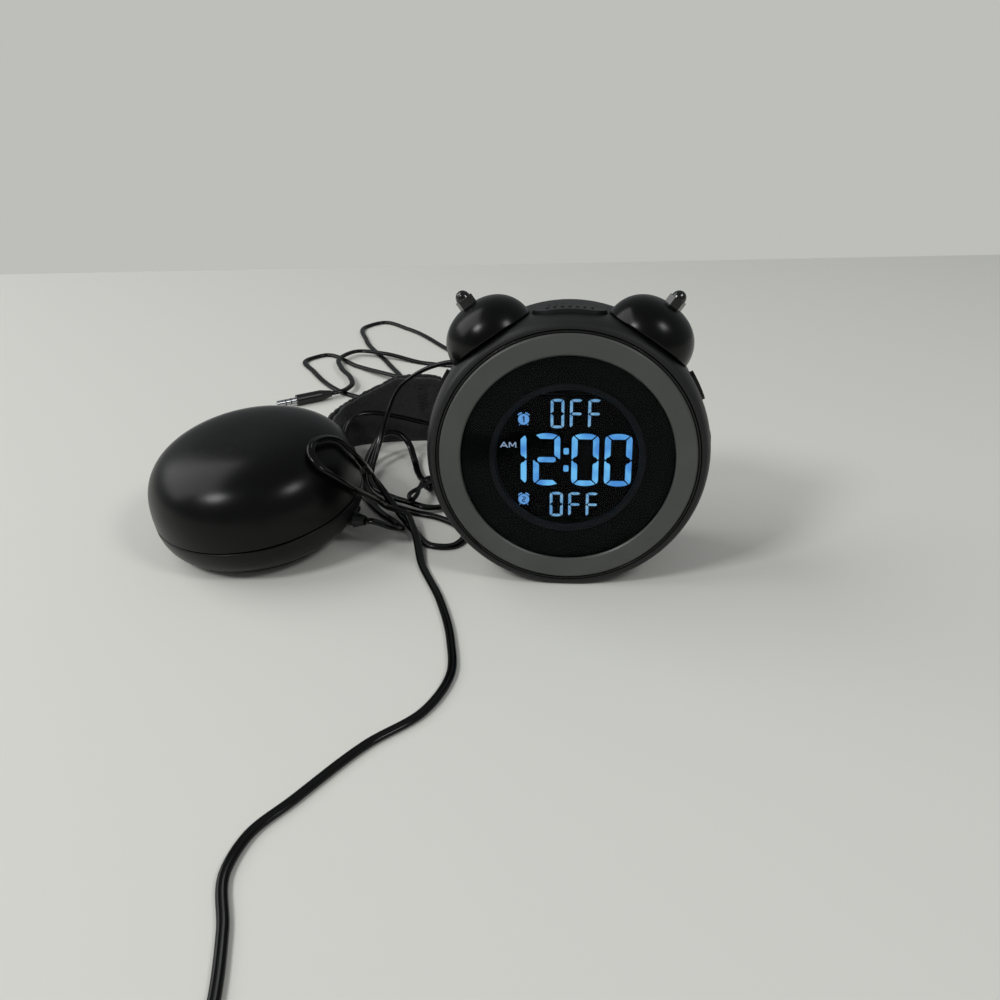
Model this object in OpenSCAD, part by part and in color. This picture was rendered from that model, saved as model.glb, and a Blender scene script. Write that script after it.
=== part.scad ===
// Bed shaker alarm clock: a round clock that leans back on a rubber foot, with a lit ring
// round its display and two bells, and a domed shaker puck on a flat two-core cord.
// X is to the right of someone reading the clock, Y points away from them, Z is up.
// The origin is on the table, under the middle of the clock's foot.

/* [Case] */
// Largest outside diameter of the barrel-shaped case
case_d = 103; // [100:1:112]
// Depth of the case from its front rim to its back face
case_depth = 46; // [44:1:56]
// Wall thickness of the case
case_wall = 2.4; // [1.8:0.2:3]
// How much smaller the front rim's radius is than the barrel's
front_drop = 3.2; // [2.6:0.2:4]
// How much smaller the back rim's radius is than the barrel's
back_drop = 6; // [4:0.5:8]
// Length of the rounded front shoulder
front_round = 11; // [8:1:14]
// Length of the rounded back shoulder
back_round = 18; // [12:1:20]
// Angle by which the clock leans back
lean = 6.1; // [3:0.5:9]
// How much of the case's radius its flat bottom and the foot's height take away
flat_cut = 2; // [1.5:0.1:2.4]
// Distance of the face ahead of the middle of the feet
set_back = 20; // [18:1:24]

/* [Front] */
// Distance of the light ring's edge inside the case's largest outline
ring_inset = 5.5; // [5.3:0.1:6.5]
// Width of the light ring
ring_w = 7.8; // [6:0.2:9]
// Thickness of the light ring
ring_t = 3; // [2.4:0.2:3.2]
// Width of the black rim round the light ring
rim_w = 1.2; // [1:0.1:1.3]
// Thickness of the front window
lens_t = 1.8; // [1.5:0.1:2.2]
// Width of the black border between the light ring and the display window
border_w = 10.1; // [9:0.1:11]
// Width of the frame round the display
frame_w = 2.4; // [1.6:0.2:2.8]
// Height of the large time digits as a share of the window's diameter
digit_share = 0.356; // [0.3:0.004:0.37]
// Height of the small alarm digits as a share of the large ones
small_share = 0.48; // [0.4:0.02:0.5]
// Width of a stroke as a share of the large digits' height
stroke_share = 0.105; // [0.08:0.005:0.12]

/* [Buttons] */
// Length of the snooze button across the case
snooze_l = 26; // [20:1:30]
// Width of the snooze button along the case's depth
snooze_w = 15; // [11:1:16]
// Length of a side button round the case
side_l = 11.5; // [8:0.5:13]
// Width of a side button along the case's depth
side_w = 5.4; // [4:0.2:7]
// How far the buttons stand out of the case
button_rise = 1.3; // [1:0.1:1.8]
// Travel of a button
button_travel = 0.7; // [0.4:0.1:0.8]
// Clearance between a button and its slot
button_gap = 0.3; // [0.2:0.05:0.4]
// Angle of the upper side buttons from the top of the case
upper_angle = 64; // [60:1:68]
// Angle of the lower side buttons from the top of the case
lower_angle = 90; // [86:1:96]

/* [Bells] */
// Outside diameter of a bell
bell_d = 33.2; // [28:0.4:34]
// Height of a bell above its rim's plane
bell_h = 15; // [13:0.5:18]
// Wall thickness of a bell
bell_wall = 1.2; // [0.8:0.1:2]
// Angle of each bell from the top of the case
bell_angle = 34.5; // [33:0.5:38]
// Depth of the bells' axes behind the face
bell_depth = 16.6; // [15:0.5:20]
// Width across the flats of a cap nut
nut_flats = 5.8; // [5:0.2:7]
// Diameter of the stud that holds a bell
stud_d = 3; // [2.5:0.5:4]

/* [Back] */
// Distance of the back cover's edge inside the case's largest outline
cover_inset = 11; // [10.5:0.5:13]
// Thickness of the back cover
cover_t = 2.4; // [2:0.2:3]
// Distance of the cover's screws inside its edge
screw_inset = 5; // [4.8:0.1:6]
// Diameter of the screws' shanks
screw_d = 2.6; // [2:0.2:3]
// Diameter of the loudspeaker
speaker_d = 32; // [28:1:33]
// Diameter of the coin cell
cell_d = 20; // [16:0.5:22]
// Thickness of the coin cell
cell_t = 3.2; // [2:0.1:4]
// Travel of each slide switch
switch_travel = 3; // [2:0.5:4]
// Inside radius of the shaker socket
socket_r = 1.8; // [1.3:0.05:2]

/* [Foot] */
// Height of the rubber foot
foot_h = 1.2; // [1:0.1:1.6]
// Length of the foot's bars across the clock
foot_l = 32; // [24:1:34]
// Width of each bar of the foot
foot_w = 7; // [5:0.5:9]
// Distance between the middles of the foot's two bars
foot_span = 24; // [20:1:28]

/* [Shaker puck] */
// Diameter of the puck
puck_d = 85; // [80:1:90]
// Height of the seam between the puck's two shells
seam_h = 15; // [13:0.5:18]
// Height of the upper shell above the seam
dome_h = 28.5; // [26:0.5:34]
// Wall thickness of the puck's shells
puck_wall = 2.4; // [2:0.2:3]
// Diameter of the puck's rubber base pad
pad_d = 66; // [60:1:70]
// Sideways tilt of the puck, which lies on a fold of its own strap
tilt_side = 4.2; // [0:0.1:5]
// Backward tilt of the puck
tilt_back = 4.9; // [0:0.1:6]
// Distance of the puck's middle to the left of the clock's
puck_left = 125; // [120:1:140]
// Distance of the puck's middle behind the clock's feet
puck_back = 11; // [0:1:20]
// Diameter of the shaker motor
motor_d = 20; // [16:1:22]
// Length of the shaker motor
motor_l = 25; // [20:1:26]
// Radius of the eccentric weight
weight_r = 9.5; // [7:0.5:10.5]
// Diameter of the motor's shaft
shaft_d = 2.3; // [2:0.1:3]

/* [Strap] */
// Width of the hook-and-loop strap
strap_w = 34; // [25:1:38]
// Thickness of one layer of the strap
strap_t = 1.8; // [1.2:0.2:2.4]

/* [Cords] */
// Width of the flat two-core cord
cord_w = 3.2; // [2.8:0.1:3.6]
// Thickness of the flat two-core cord
cord_t = 1.9; // [1.6:0.1:2.1]
// Radius of the middle turns of the power cord's coil
coil_r = 18; // [16:0.5:20]
// Width of the coil's bundle
coil_w = 9.6; // [8:0.2:12]
// Height of the coil's bundle
coil_h = 7.6; // [6:0.2:9]

/* [Hidden] */
$fn = 96;
e = 0.01;
case_r = case_d/2;
face_height = case_r - flat_cut;
ring_r = case_r - ring_inset;
lens_r = ring_r - ring_w;
fit = 0.15;
rim_r = ring_r + rim_w;
rim_depth = 4;
floor_z = foot_h;
seat = 0.25;

// Places: the leaning clock's own axes, with x right, y into the clock and z up its face
module leaning() {
  translate([0, -set_back, face_height]) rotate([-lean, 0, 0]) children();
}

// A solid turned about the clock's axis, from points of radius and depth
module turned(points) {
  rotate([-90, 0, 0]) rotate_extrude() polygon(points);
}

// A ring about the clock's axis between two radii and two depths
module ring(r_in, r_out, d0, d1) {
  turned([[r_in, d0], [r_out, d0], [r_out, d1], [r_in, d1]]);
}

// A disc about an axis that is parallel to the clock's, at x and z in the face
module disc(x, z, r, d0, d1) {
  translate([x, d0, z]) rotate([-90, 0, 0]) cylinder(r = r, h = d1 - d0);
}

// Children stand on the case at an angle from its top, with their z along the radius
module at_angle(angle, depth) {
  rotate([0, angle, 0]) translate([0, depth, 0]) children();
}

// Half the flat outline's slot: a pill of a length along x and a width along y
module pill(l, w) {
  square([l - w, w], center = true);
  for (s = [-1, 1]) translate([s*(l - w)/2, 0]) circle(d = w);
}

// Case outline: radius of the outside at a depth, from two quarter ellipses and a straight run
function barrel(d) =
  d < front_round ? case_r - front_drop*(1 - sqrt(1 - pow(1 - d/front_round, 2)))
  : d > case_depth - back_round
    ? case_r - back_drop*(1 - sqrt(1 - pow((d - case_depth + back_round)/back_round, 2)))
    : case_r;
barrel_depths = concat([for (i = [0:6]) front_round*(1 - cos(15*i))],
                       [for (i = [0:6]) case_depth - back_round*(1 - sin(15*i))]);
function barrel_points(inset, end) =
  [for (d = barrel_depths) [barrel(d) - inset, min(d, end)]];

module barrel_solid(inset, end = case_depth) {
  turned(concat([[0, 0]], barrel_points(inset, end), [[0, end]]));
}

module above(z) {
  big = 4*case_d;
  translate([-big/2, -big/2, z]) cube([big, big, big]);
}

// The back cover's seat
cover_r = case_r - cover_inset;
cover_y = case_depth - cover_t;
ledge_w = 1.2;
ledge_t = 0.8;
boss_r = 3.4;
boss_y = 30;
cover_screws_at = [75, 165, 255, 345];
screw_r = cover_r - screw_inset;

module at_cover_screws() {
  for (a = cover_screws_at) rotate([0, a, 0]) translate([0, 0, screw_r]) children();
}

snooze_depth = 14.5;
side_depth = 20;
button_angles = [0, upper_angle, lower_angle, -upper_angle, -lower_angle];

// Opening for a button, cut along the radius
module button_slot(angle, depth, l, w) {
  at_angle(angle, depth) translate([0, 0, case_r - 3*case_wall])
    linear_extrude(6*case_wall) pill(l + 2*button_gap, w + 2*button_gap);
}

module case_shell() {
  color("#3a3b3c") difference() {
    union() {
      difference() {
        intersection() { leaning() barrel_solid(0); above(floor_z); }
        intersection() {
          leaning() barrel_solid(case_wall, cover_y - ledge_t);
          above(floor_z + case_wall);
        }
        leaning() disc(0, 0, cover_r - ledge_w, cover_y - 3*ledge_t, case_depth + 1);
      }
      intersection() {
        leaning() cover_bosses();
        leaning() barrel_solid(case_wall/2, cover_y);
        above(floor_z + case_wall/2);
      }
    }
    leaning() {
      disc(0, 0, rim_r + fit, -1, rim_depth + 0.4);
      disc(0, 0, rim_r - 1, -1, case_wall + 3);
      disc(0, 0, cover_r + fit, cover_y, case_depth + 1);
      button_slot(0, snooze_depth, snooze_l, snooze_w);
      for (a = [upper_angle, lower_angle, -upper_angle, -lower_angle])
        button_slot(a, side_depth, side_l, side_w);
      for (s = [-1, 1]) at_angle(s*bell_angle, bell_depth)
        translate([0, 0, case_r - 3*case_wall]) cylinder(d = stud_d + 0.2, h = 6*case_wall);
      at_cover_screws() translate([0, boss_y - 1, 0]) rotate([-90, 0, 0])
        cylinder(d = screw_d, h = case_depth);
    }
  }
}

// Pillars that the back cover screws into, each with a rib to the case wall
module cover_bosses() {
  at_cover_screws() {
    translate([0, boss_y, 0]) rotate([-90, 0, 0]) cylinder(r = boss_r, h = cover_y - boss_y);
    translate([-1, boss_y, boss_r - 0.6]) cube([2, cover_y - boss_y, case_r - screw_r]);
  }
}

// Light ring, its rim and the window
module front_bezel() {
  color("#0b0c0d") leaning() {
    turned([[ring_r + fit, 0.3], [ring_r + fit + 0.3, 0], [rim_r - 0.3, 0], [rim_r, 0.4],
            [rim_r, rim_depth], [ring_r - 1.4, rim_depth], [ring_r - 1.4, ring_back],
            [ring_r + fit, ring_back]]);
  }
}
ring_front = -0.6;
ring_back = ring_front + ring_t + 0.1;

module light_ring() {
  color("#4b4d4a") leaning()
    turned([[lens_r + fit, ring_front + 0.5], [lens_r + fit + 0.5, ring_front],
            [ring_r - 0.6, ring_front], [ring_r, ring_front + 0.6], [ring_r, ring_front + ring_t],
            [lens_r + fit, ring_front + ring_t]]);
}

lens_front = -0.2;
lens_back = lens_front + lens_t;
module display_lens() {
  color([0.05, 0.05, 0.06, 0.5]) leaning()
    turned([[0, lens_front], [lens_r - 0.4, lens_front], [lens_r, lens_front + 0.4],
            [lens_r, lens_back], [0, lens_back]]);
}

// Black carrier behind the window, which also walls off the ring's light
carrier_front = lens_back + 0.1;
carrier_t = 1.4;
carrier_back = 9.4;
window_r = lens_r - border_w;
post_r = lens_r - 5.2;
post_angles = [60, 180, 300];
board_y = 14;
board_t = 1.6;
module display_carrier() {
  color("#101112") leaning() {
    ring(window_r, lens_r - 1.6, carrier_front, carrier_front + carrier_t);
    ring(lens_r - 1.6, lens_r, carrier_front, carrier_back);
    ring(lens_r, lens_r + 1.2, ring_back, ring_back + 1.2);
    ring(lens_r, lens_r + 1.4, carrier_back - 1, carrier_back);
    for (a = post_angles) rotate([0, a, 0]) difference() {
      disc(0, post_r, 2.6, carrier_front + carrier_t - e, board_y);
      disc(0, post_r, 0.8, board_y - 7, board_y + 1);
    }
  }
}

frame_r = window_r - frame_w;
lcd_y = carrier_front + carrier_t + 0.6;
module display_frame() {
  color("#2b2d2f") leaning() {
    turned([[frame_r, carrier_front + 0.9], [frame_r + 0.5, carrier_front + 0.3],
            [window_r - fit, carrier_front + 0.1],
            [window_r - fit, carrier_front + carrier_t + 0.05],
            [window_r + 2, carrier_front + carrier_t + 0.05], [window_r + 2, lcd_y],
            [frame_r, lcd_y]]);
  }
}

lcd_w = 2*window_r - 5.2;
lcd_h = 2*window_r - 10.2;
lcd_t = 2.2;
module lcd_panel() {
  color("#0a0c10") leaning()
    translate([-lcd_w/2, lcd_y + seat/2, -lcd_h/2]) cube([lcd_w, lcd_t, lcd_h]);
}

module backlight() {
  color("#e8ecf0") leaning() difference() {
    translate([-lcd_w/2 + 1, lcd_y + seat/2 + lcd_t, -lcd_h/2 + 1])
      cube([lcd_w - 2, 4.4, lcd_h - 2]);
    for (s = [-1, 1]) translate([s*(lcd_w/2 - 7), lcd_y + 4.6, 0])
      cube([3, 3, lcd_h + 2], center = true);
  }
}

// Seven-segment figures: a stroke has pointed ends, and segments are a top, b upper right,
// c lower right, d bottom, e lower left, f upper left and g middle
function segments_of(n) =
  n == 0 ? "abcdef" : n == 1 ? "bc" : n == 2 ? "abged" : n == 3 ? "abgcd" : "aefg";

module stroke(l, w) {
  polygon([[0, 0], [w/2, w/2], [l - w/2, w/2], [l, 0], [l - w/2, -w/2], [w/2, -w/2]]);
}

// One lit segment of a figure that is w wide and h high, with a small gap at its ends
module segment(name, w, h, s) {
  gap = s*0.14;
  across = w - s - 2*gap;
  up = (h - s)/2 - 2*gap;
  y0 = -(h - s)/2;
  if (name == "a") translate([-across/2, -y0]) stroke(across, s);
  if (name == "d") translate([-across/2, y0]) stroke(across, s);
  if (name == "g") translate([-across/2, 0]) stroke(across, s);
  if (name == "b") translate([(w - s)/2, gap]) rotate(90) stroke(up, s);
  if (name == "f") translate([-(w - s)/2, gap]) rotate(90) stroke(up, s);
  if (name == "c") translate([(w - s)/2, -gap - up]) rotate(90) stroke(up, s);
  if (name == "e") translate([-(w - s)/2, -gap - up]) rotate(90) stroke(up, s);
}

module figure(names, x, z, w, h, s) {
  translate([x, 0, z]) rotate([90, 0, 0]) linear_extrude(digit_t)
    for (name = names) segment(name, w, h, s);
}

digit_t = 0.12;
digit_h = 2*window_r*digit_share;
small_h = digit_h*small_share;
stroke_w = digit_h*stroke_share;
cell = digit_h/20;
digit_w = 9.7*cell;
small_w = 5.2*cell;
big_figures = [[1, -19.5], [2, -7.4], [0, 6.4], [0, 18.2]];
off_figures = [["abcdef", -3.4], ["aefg", 2.9], ["aefg", 9.2]];
alarm_rows = [17, -17];
icon_x = -15.6;
module time_digits() {
  color("#5ba9ee") leaning() translate([0, lcd_y + seat/2, 0]) {
    for (f = big_figures) figure(segments_of(f[0]), f[1]*cell, 0, digit_w, digit_h, stroke_w);
    for (z = alarm_rows*cell) {
      for (f = off_figures) figure(f[0], f[1]*cell, z, small_w, small_h, stroke_w*0.55);
      disc(icon_x*cell, z, 2.1*cell, -digit_t, 0);
    }
    for (z = [-3.4, 3.4]*cell) translate([-0.4*cell, -digit_t/2, z])
      cube([stroke_w, digit_t, stroke_w], center = true);
  }
}

// Light-ring board and its lamps
led_board_y = 7.2;
led_count = 12;
module led_board() {
  color("#1d5a34") leaning()
    ring(lens_r + seat, ring_r - 1.4, led_board_y, carrier_back - 1);
}

module ring_leds() {
  color("#f4f2dc") leaning() for (i = [0:led_count - 1]) rotate([0, i*360/led_count, 0])
    translate([-1.8, led_board_y - 1.4, lens_r + ring_w/2 - 1.4]) cube([3.6, 1.4, 2.8]);
}

board_r = lens_r + 0.8;
module main_board() {
  color("#1f6b3d") leaning() difference() {
    disc(0, 0, board_r, board_y, board_y + board_t);
    for (a = post_angles) rotate([0, a, 0]) disc(0, post_r, 1.1, board_y - 1, board_y + 3);
  }
}

module board_screws() {
  color("silver") leaning() for (a = post_angles) rotate([0, a, 0]) {
    disc(0, post_r, 2, board_y + board_t, board_y + board_t + 1.3);
    disc(0, post_r, 0.8, board_y - 5, board_y + board_t + e);
  }
}

chips = [[-8, 6, 12, 12, 1.6], [14, 10, 7, 5, 1.4], [14, -8, 5, 7, 1.4], [-14, -16, 9, 4, 2.6],
         [2, -20, 6, 6, 4.5], [-20, 14, 4, 4, 5.5]];
module board_chips() {
  color("#15171a") leaning() for (c = chips)
    translate([c[0] - c[2]/2, board_y + board_t, c[1] - c[3]/2]) cube([c[2], c[4], c[3]]);
}

// Buttons: a cap that fills its slot, a flange behind the wall and a stem to its switch
wall_r = case_r - case_wall;
flange_t = 1.2;
flange_w = 1.2;
flange_top = wall_r - seat - 0.2;
stem_len = 2.2;

module button_body(l, w) {
  intersection() {
    translate([0, 0, wall_r - 2]) linear_extrude(case_wall + button_rise + 4) pill(l, w);
    rotate([90, 0, 0]) cylinder(r = case_r + button_rise, h = 3*w, center = true);
  }
  intersection() {
    translate([0, 0, wall_r - 6]) linear_extrude(8) pill(l + 2*flange_w, w + 2*flange_w);
    rotate([90, 0, 0]) difference() {
      cylinder(r = flange_top, h = 3*w, center = true);
      cylinder(r = flange_top - flange_t, h = 4*w, center = true);
    }
  }
  translate([0, 0, flange_top - flange_t - stem_len]) cylinder(d = 3, h = stem_len + 0.6);
}

// The snooze bar's grip: shallow ribs across its top
rib_count = 7;
module snooze_button() {
  color("#2f3031") leaning() at_angle(0, snooze_depth) {
    button_body(snooze_l, snooze_w);
    intersection() {
      for (i = [0:rib_count - 1])
        translate([(i - (rib_count - 1)/2)*2.6 - 0.5, -snooze_w/2 + 3.5, case_r])
          cube([1, snooze_w - 7, 3]);
      rotate([90, 0, 0]) cylinder(r = case_r + button_rise + 0.3, h = 3*snooze_w, center = true);
    }
  }
}

module side_button(angle) {
  color("#2b2c2d") leaning() at_angle(angle, side_depth) button_body(side_l, side_w);
}
module right_upper_button() { side_button(upper_angle); }
module right_lower_button() { side_button(lower_angle); }
module left_upper_button() { side_button(-upper_angle); }
module left_lower_button() { side_button(-lower_angle); }

// Push switches under the stems, on small brackets of the main board
switch_top = flange_top - flange_t - stem_len - button_travel - 0.15;
module button_switches() {
  color("#3d4043") leaning() for (i = [0:4])
    at_angle(button_angles[i], i == 0 ? snooze_depth : side_depth) {
      translate([-3, -3, switch_top - 3.6]) cube([6, 6, 3.6]);
      translate([-2, board_y + board_t - (i == 0 ? snooze_depth : side_depth),
                 board_r - 4]) cube([4, 1.4, switch_top - board_r + 3]);
      translate([-2, board_y + board_t - (i == 0 ? snooze_depth : side_depth),
                 switch_top - 5]) cube([4, side_depth - board_y, 1.6]);
    }
}

// Bells: hollow domes that are cut to sit on the barrel
bell_base = case_r - 3.3;
bell_power = 0.9;
bell_steps = 10;
bell_r = bell_d/2;
function dome(r, h, p, n) =
  [for (i = [0:n]) [r*pow(cos(90*i/n), p), h*pow(sin(90*i/n), p)]];

module bell(side) {
  color("#1c1d1f") leaning() difference() {
    at_angle(side*bell_angle, bell_depth) translate([0, 0, bell_base]) difference() {
      rotate_extrude() polygon(concat([[0, 0]], dome(bell_r, bell_h, bell_power, bell_steps)));
      rotate_extrude() polygon(concat([[0, -1], [bell_r - bell_wall, -1]],
        dome(bell_r - bell_wall, bell_h - bell_wall, bell_power, bell_steps)));
      cylinder(d = stud_d + 0.1, h = 2*bell_h);
      translate([0, 0, bell_h - nut_seat]) cylinder(r = nut_flats, h = 1);
    }
    disc(0, 0, case_r + fit, -20, case_depth + 20);
  }
}
module left_bell() { bell(-1); }
module right_bell() { bell(1); }

nut_seat = 0.3;
stud_out = 2.4;
bell_top = bell_base + bell_h - nut_seat;
module bell_studs() {
  color("silver") leaning() for (s = [-1, 1]) at_angle(s*bell_angle, bell_depth) {
    translate([0, 0, wall_r - 1.8]) cylinder(d = stud_d, h = bell_top + stud_out - wall_r + 1.8);
    translate([0, 0, wall_r - 3.6]) cylinder(d = 2*stud_d, h = 2);
  }
}

// Acorn nuts: a hexagon with a domed cap
nut_h = 3.2;
cap_r = nut_flats*0.46;
module cap_nuts() {
  color("#141517") leaning() for (s = [-1, 1])
    at_angle(s*bell_angle, bell_depth) translate([0, 0, bell_top]) difference() {
      union() {
        cylinder(d = nut_flats/cos(30), h = nut_h, $fn = 6);
        translate([0, 0, nut_h - e]) rotate_extrude()
          polygon(concat([[0, 0]], dome(cap_r, cap_r*1.1, 1, 6)));
      }
      translate([0, 0, -1]) cylinder(d = stud_d, h = stud_out + 1);
    }
}

// Foot: one rubber moulding of two bars and a web, under the flat of the case
module rubber_foot() {
  color("#151515") linear_extrude(foot_h) {
    for (s = [-1, 1]) translate([0, s*foot_span/2]) pill(foot_l, foot_w);
    square([foot_l/3, foot_span], center = true);
  }
}

// Back cover with its openings
speaker_at = [7, -14];
jack_x = -29;
jack_z = 15;
shaker_at = [-29, 2];
door_at = [15.5, 17.5];
door_r = cell_d/2 + 3;
switch_at = [[-20, 24], [-6.5, 27.5]];
switch_slot = [switch_travel + 3.6, 3];
grille_rings = [[0, 1], [4.6, 6], [9.2, 12], [13.4, 18]];
module rear_cover() {
  color("#343536") leaning() difference() {
    disc(0, 0, cover_r, cover_y, case_depth);
    at_cover_screws() rotate([-90, 0, 0]) {
      cylinder(d = screw_d + 0.4, h = 3*case_depth, center = true);
      translate([0, 0, case_depth - 1.2]) cylinder(d = 2*screw_d + 0.3, h = 5);
    }
    for (g = grille_rings) for (i = [0:g[1] - 1])
      disc(speaker_at[0] + g[0]*cos(360*i/g[1]), speaker_at[1] + g[0]*sin(360*i/g[1]),
           1, cover_y - 1, case_depth + 1);
    disc(jack_x, jack_z, 5.2, cover_y - 1, case_depth + 1);
    disc(shaker_at[0], shaker_at[1], 3.8, cover_y - 1, case_depth + 1);
    disc(door_at[0], door_at[1], door_r + fit, cover_y - 1, case_depth + 1);
    for (s = switch_at) translate([s[0], case_depth - 2, s[1]])
      cube([switch_slot[0], 8, switch_slot[1]], center = true);
  }
}

module cover_screws() {
  color("silver") leaning() at_cover_screws() rotate([-90, 0, 0]) {
    translate([0, 0, case_depth - 1.2]) cylinder(d = 2*screw_d, h = 1);
    translate([0, 0, boss_y + 4]) cylinder(d = screw_d, h = cover_y - boss_y - 2.6);
  }
}

// Loudspeaker on the inside of the cover, behind the grille
speaker_r = speaker_d/2;
speaker_y = cover_y - 6;
module at_speaker() { translate([speaker_at[0], 0, speaker_at[1]]) children(); }
module speaker_frame() {
  color("#6b6f72") leaning() at_speaker()
    turned([[speaker_r - 1.6, cover_y], [speaker_r, cover_y], [speaker_r, cover_y - 2],
            [10.4, speaker_y], [8, speaker_y], [8, speaker_y + 1.2],
            [speaker_r - 3.4, cover_y - 1.4], [speaker_r - 1.6, cover_y - 1.4]]);
}
module speaker_cone() {
  color("#20242a") leaning() at_speaker()
    turned([[0, speaker_y + 2.2], [5, speaker_y + 2.2], [speaker_r - 3.4, cover_y - 1.4],
            [speaker_r - 1.7, cover_y - 1.4], [speaker_r - 1.7, cover_y - 0.9],
            [speaker_r - 3.6, cover_y - 0.9], [5, speaker_y + 2.8], [0, speaker_y + 2.8]]);
}
module speaker_magnet() {
  color("#8d9194") leaning() at_speaker() ring(0, 10, speaker_y - 6, speaker_y);
}

// Sockets on a small board behind the cover
jack_board_y = cover_y - 14;
module jack_board() {
  color("#1f6b3d") leaning() translate([jack_x - 6, jack_board_y, -4]) cube([12, 1.6, 27]);
}
jack_bore = 3;
module power_jack() {
  color("#17181a") leaning() {
    difference() {
      translate([jack_x - 4.8, jack_board_y + 1.6, jack_z - 4.8])
        cube([9.6, cover_y - jack_board_y - 1.6, 9.6]);
      disc(jack_x, jack_z, jack_bore, cover_y - 10, cover_y + 1);
    }
    disc(jack_x, jack_z, 0.7, cover_y - 10.5, cover_y - 1);
  }
}
module shaker_jack() {
  color("#17181a") leaning() difference() {
    union() {
      translate([shaker_at[0] - 4, jack_board_y + 1.6, shaker_at[1] - 4])
        cube([8, cover_y - jack_board_y - 1.6, 8]);
      disc(shaker_at[0], shaker_at[1], 3.6, cover_y - e, case_depth);
    }
    disc(shaker_at[0], shaker_at[1], socket_r, case_depth - 12, case_depth + 1);
  }
}

// Slide switches: a knob in the cover's slot, with a base plate behind it
module slide_knob(place) {
  color("#1a1b1c") leaning() translate([place[0] - switch_travel/2, 0, place[1]]) {
    translate([0, case_depth - 0.4, 0])
      cube([3, 3.8, switch_slot[1] - 2*seat], center = true);
    translate([0, cover_y - seat - 0.6, 0])
      cube([switch_slot[0] + switch_travel - 0.4, 1.2, switch_slot[1] + 3], center = true);
    translate([0, cover_y, 0]) cube([3, 2.4, switch_slot[1] - 2*seat], center = true);
  }
}
module volume_switch() { slide_knob(switch_at[0]); }
module dimmer_switch() { slide_knob(switch_at[1]); }

// Coin cell for the time, under a door that turns to unlock
cell_y = cover_y - 0.6 - cell_t;
module battery_holder() {
  color("#e2e0d8") leaning() translate([door_at[0], 0, door_at[1]]) difference() {
    ring(0, door_r + 1.4, cell_y - 1.6, cover_y);
    disc(0, 0, cell_d/2 + 0.3, cell_y - 0.4, cover_y + 1);
    disc(0, 0, door_r + fit, cover_y - 0.5, cover_y + 1);
  }
}
module coin_cell() {
  color("#c9ccd0") leaning() disc(door_at[0], door_at[1], cell_d/2, cell_y - 0.3, cell_y - 0.3 + cell_t);
}
module battery_door() {
  color("#2e2f30") leaning() difference() {
    disc(door_at[0], door_at[1], door_r - 0.1, cover_y - 0.1, case_depth);
    translate([door_at[0], case_depth, door_at[1]]) cube([12, 2, 1.8], center = true);
  }
}

// Two leads from the loudspeaker to the main board
lead_r = 0.6;
module speaker_lead() {
  color("#a02020") leaning() for (s = [-1, 1])
    disc(speaker_at[0] + 12.4, speaker_at[1] + 1.7*s, lead_r, board_y + board_t, speaker_y + 1);
}

// The puck: everything in it is drawn level and then tilted as it lies on its strap
puck_r = puck_d/2;
pad_r = pad_d/2;
tilt = sqrt(pow(tilt_side, 2) + pow(tilt_back, 2));
puck_lift = (pad_r + 1)*sin(tilt);
module puck_place() {
  translate([-puck_left, puck_back, puck_lift]) rotate([tilt_back, -tilt_side, 0]) children();
}

// Shell outlines from the seam: a squarish dome above, a rounded pan below
dome_power = 0.7;
pan_power = 0.92;
pad_t = 1.6;
pan_h = seam_h - pad_t;
function upper_points(inset) =
  [for (p = dome(puck_r - inset, dome_h - inset, dome_power, 14)) [p[0], seam_h + p[1]]];
function lower_points(inset) =
  [for (i = [0:8]) let (a = 90*i/8) [pad_r + (puck_r - inset - pad_r)*pow(cos(a), pan_power),
                                     seam_h - (pan_h - inset)*pow(sin(a), pan_power)]];
module puck_upper_shell() {
  color("#343637") puck_place() difference() {
    rotate_extrude() polygon(concat([[0, seam_h]], upper_points(0)));
    rotate_extrude() polygon(concat([[0, seam_h - 1]], [[puck_r - puck_wall, seam_h - 1]],
      upper_points(puck_wall)));
  }
}

screw_posts_r = 29;
screw_post_angles = [52, 128, 232, 308];
module puck_lower_shell() {
  color("#2b2d2e") puck_place() difference() {
    union() {
      difference() {
        rotate_extrude() polygon(concat([[0, seam_h]], lower_points(0), [[0, pad_t]]));
        rotate_extrude() polygon(concat([[0, seam_h + 1], [puck_r - puck_wall, seam_h + 1]],
          lower_points(puck_wall), [[0, pad_t + puck_wall]]));
      }
      rotate_extrude() translate([puck_r - puck_wall - 1.6, seam_h - 3]) {
        square([1.4, 5]);
        square([2, 3]);
      }
      for (a = screw_post_angles) rotate(a) translate([screw_posts_r, 0, pad_t + 1])
        cylinder(d = 6, h = seam_h - pad_t - 1);
    }
    for (a = screw_post_angles) rotate(a) translate([screw_posts_r, 0, 0])
      cylinder(d = screw_d + 0.4, h = seam_h + 2);
    for (a = screw_post_angles) rotate(a) translate([screw_posts_r, 0, 0])
      cylinder(d = 2*screw_d + 0.4, h = pad_t + 2);
    rotate(relief_angle) translate([pad_r - 1, 0, relief_z]) rotate([0, 90, 0])
      cylinder(r = relief_r + 0.05, h = 20);
    at_clamp_screws() cylinder(d = screw_d, h = 4);
  }
}

module puck_base_pad() {
  color("#101010") puck_place() difference() {
    rotate_extrude() polygon([[0, 0], [pad_r + 1, 0], [pad_r + 1.2, pad_t - 0.2], [pad_r, pad_t], [0, pad_t]]);
    for (a = screw_post_angles) rotate(a) translate([screw_posts_r, 0, -1])
      cylinder(d = 2*screw_d + 1, h = 5);
  }
}

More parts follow.
